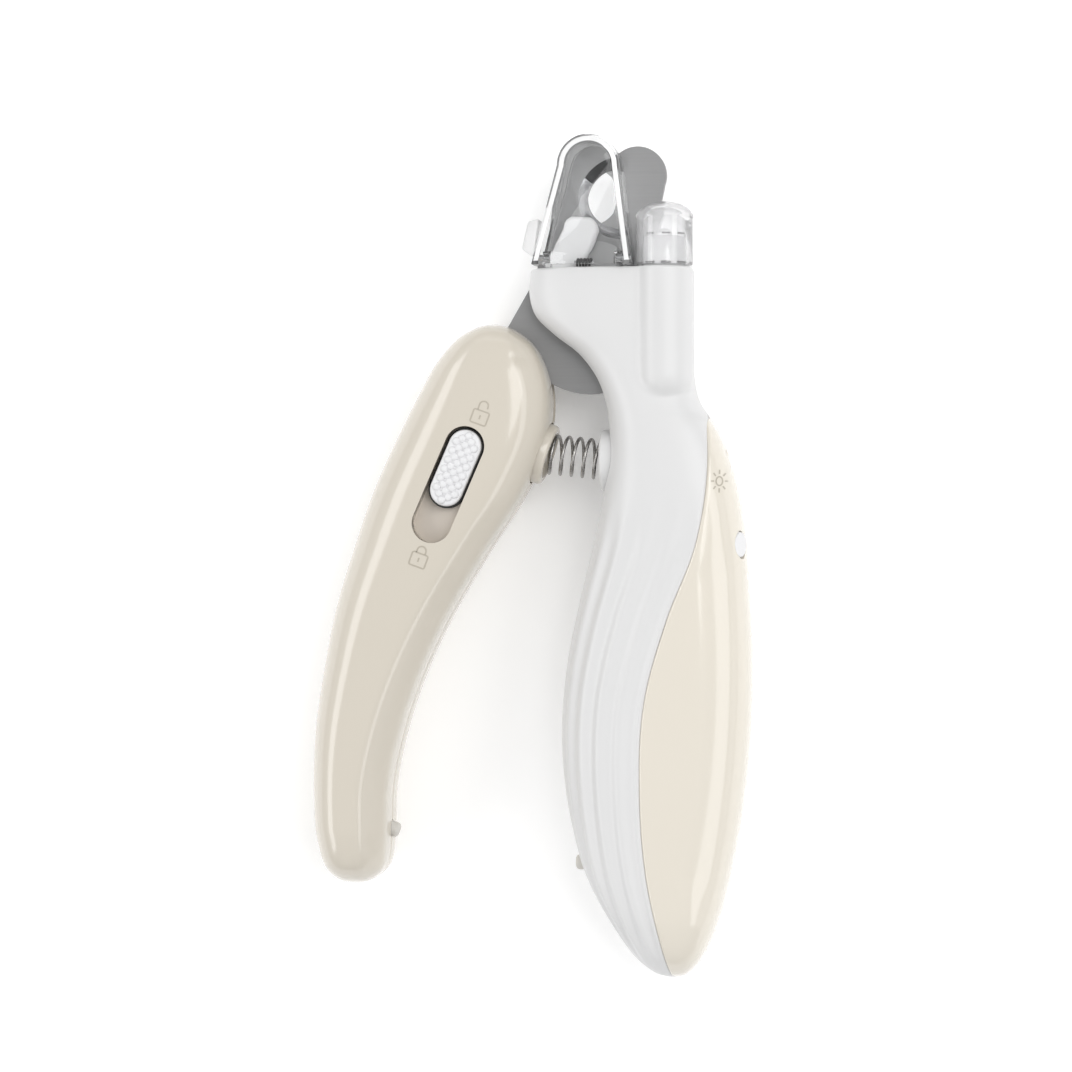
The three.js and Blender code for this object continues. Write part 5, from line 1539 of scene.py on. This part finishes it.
def padlock(centre, turn, is_open):
    """A padlock's body, shackle and keyhole, turned about its centre."""
    body = arc((1.15, 0.65), 0.3, 0, 90, 4) + arc((-1.15, 0.65), 0.3, 90, 180, 4)
    body += arc((-1.15, -1.15), 0.3, 180, 270, 4) + arc((1.15, -1.15), 0.3, 270, 360, 4)
    rise = 0.45 if is_open else 0.0
    shackle = [(-0.8, 0.95), (-0.8, 1.45 + rise)] + arc((0, 1.45 + rise), 0.8, 180, 0, 14)
    shackle += [(0.8, 1.55)] if is_open else [(0.8, 0.95)]
    cosine, sine = math.cos(turn), math.sin(turn)

    def placed(points):
        return [(centre[0] + x * cosine - y * sine, centre[1] + x * sine + y * cosine) for x, y in points]

    return [(fine(placed(body), True), True), (fine(placed(shackle)), False),
            (fine(placed([(0, 0.15), (0, -0.6)])), False)]


# %% Draw the marks
LOCK_TILT = math.radians(-20)
marks = padlock((-18.1, -17.9), LOCK_TILT, True) + padlock((-29.0, -43.0), LOCK_TILT, False)
lock_marks = ribbon("lock_marks", marks, lever_surface, 0.26)
finish_piece(lock_marks, PRINT, "lever", slot="taupe")
SUN = (23.9, -29.4)
rays = [(fine([(SUN[0] + 0.85 * r1 * math.cos(a), SUN[1] + 1.25 * r1 * math.sin(a)) for r1 in (1.0, 1.6)]),
         False)
        for a in np.radians(np.arange(0, 360, 45))]
bulb_ring = [((SUN[0] + 0.85 * 0.62 * math.cos(a), SUN[1] + 1.25 * 0.62 * math.sin(a)))
             for a in np.radians(np.arange(0, 360, 15))]
light_mark = ribbon("light_mark", rays + [(bulb_ring, True)], cover_surface, 0.24)
finish_piece(light_mark, PRINT, "grip", slot="taupe")
print("marks:", len(lock_marks.data.polygons) + len(light_mark.data.polygons), "faces")

# %% [markdown]
# ## Parts inside
#
# The circuit board, the switch, the cells and their contacts keep their mechanical shapes, since they are
# only seen when the model is taken apart. They still get real finishes.

# %% Finishes for the parts inside
INSIDE = {"control_board": BOARD, "lamp_board": BOARD, "light_switch": BLACK, "contact_low": BRIGHT,
          "contact_high": BRIGHT, "cell_1": BRIGHT, "cell_2": BRIGHT, "cell_3": BRIGHT}
for node, material in INSIDE.items():
    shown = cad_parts[node]
    for place in shown.material_slots:
        place.material = material
print("inside parts:", ", ".join(INSIDE))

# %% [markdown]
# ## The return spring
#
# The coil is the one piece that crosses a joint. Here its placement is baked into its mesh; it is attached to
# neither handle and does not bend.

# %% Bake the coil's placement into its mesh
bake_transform(return_spring)

# %% [markdown]
# ## Table, light and camera
#
# A pale table, a bright even sky and a few large soft lamps are what a product studio uses for white
# objects. The two tall lamps at the sides draw the long bright lines along the handles. The overhead lamp
# stands to the right, so that flat faces don't mirror it. The lens is long, so the handles keep their true
# proportions.

# %% Table
table_mesh = bpy.data.meshes.new("table")
half_table = 3.0
table_mesh.from_pydata([(-half_table, -half_table, 0), (half_table, -half_table, 0),
                        (half_table, half_table, 0),
                        (-half_table, half_table, 0)], [], [(0, 1, 2, 3)])
table = bpy.data.objects.new("table", table_mesh)
bpy.context.scene.collection.objects.link(table)
TABLE_FINISH = plastic("Pale table", (0.96, 0.96, 0.96), (0.95, 0.95, 0.95), (0.55, 0.65), bump=0.01,
                       Emission_Color=(1, 1, 1, 1), Emission_Strength=0.16)
table_mesh.materials.append(TABLE_FINISH)
table_nodes = TABLE_FINISH.node_tree
side_seen = put(table_nodes, "ShaderNodeNewGeometry")
see_through = put(table_nodes, "ShaderNodeBsdfTransparent")
one_sided = put(table_nodes, "ShaderNodeMixShader")
table_nodes.links.new(side_seen.outputs["Backfacing"], one_sided.inputs["Fac"])
table_nodes.links.new(table_nodes.nodes["Principled BSDF"].outputs["BSDF"], one_sided.inputs[1])
table_nodes.links.new(see_through.outputs["BSDF"], one_sided.inputs[2])
table_nodes.links.new(one_sided.outputs["Shader"], table_nodes.nodes["Material Output"].inputs["Surface"])

# %% Lights
AIM = Vector((-9.5, -39.0, 12.3)) * MM


def soft_light(name, place_mm, width_mm, height_mm, power, tone=(1, 1, 1)):
    """A rectangular area lamp that faces the tool."""
    light = bpy.data.lights.new(name, "AREA")
    light.shape = "RECTANGLE"
    light.size, light.size_y = width_mm * MM, height_mm * MM
    light.energy = power
    light.color = tone
    lamp = bpy.data.objects.new(name, light)
    bpy.context.scene.collection.objects.link(lamp)
    lamp.location = Vector(place_mm) * MM
    lamp.rotation_euler = (AIM - lamp.location).to_track_quat("-Z", "Y").to_euler()
    return lamp


soft_light("overhead", (380, 200, 820), 400, 520, 2.1)
soft_light("left_strip", (-650, -50, 500), 1100, 280, 2.9)
soft_light("right_strip", (690, -50, 620), 1100, 340, 2.3)
soft_light("left_wide", (-800, -40, 220), 1100, 300, 0.2)
soft_light("right_wide", (800, -40, 220), 1100, 300, 0.6)
soft_light("top_fill", (0, 700, 420), 900, 200, 0.4)
world = bpy.data.worlds.new("Even studio")
world.use_nodes = True
sky = world.node_tree
sky_place = put(sky, "ShaderNodeTexCoord").outputs["Generated"]
sky_height = put(sky, "ShaderNodeSeparateXYZ")
sky.links.new(sky_place, sky_height.inputs["Vector"])
sky_tone = put(sky, "ShaderNodeValToRGB")
sky.links.new(sky_height.outputs["Z"], sky_tone.inputs["Fac"])
sky_tone.color_ramp.elements[0].color = (0.32, 0.32, 0.325, 1)
sky_tone.color_ramp.elements[1].color = (0.60, 0.60, 0.60, 1)
sky_tone.color_ramp.elements[1].position = 0.6
sky.links.new(sky_tone.outputs["Color"], sky.nodes["Background"].inputs["Color"])
sky.nodes["Background"].inputs["Strength"].default_value = 1.0
bpy.context.scene.world = world
bpy.context.scene.view_settings.view_transform = "Standard"

# %% Camera
VIEW_TILT = math.radians(8)
view_way = Vector((math.sin(VIEW_TILT), 0, math.cos(VIEW_TILT)))
camera_data = bpy.data.cameras.new("camera")
camera_data.lens = 120
camera_data.sensor_width = 36
camera = bpy.data.objects.new("camera", camera_data)
bpy.context.scene.collection.objects.link(camera)
CAMERA_DISTANCE = 0.6366
camera.location = AIM + view_way * CAMERA_DISTANCE
right_way = Vector((math.cos(VIEW_TILT), 0, -math.sin(VIEW_TILT)))
camera.matrix_world = Matrix.Translation(camera.location) @ Matrix(
    (right_way, Vector((0, 1, 0)), view_way)).transposed().to_4x4()
bpy.context.scene.camera = camera
print("camera at", [round(c / MM) for c in camera.location], "mm")
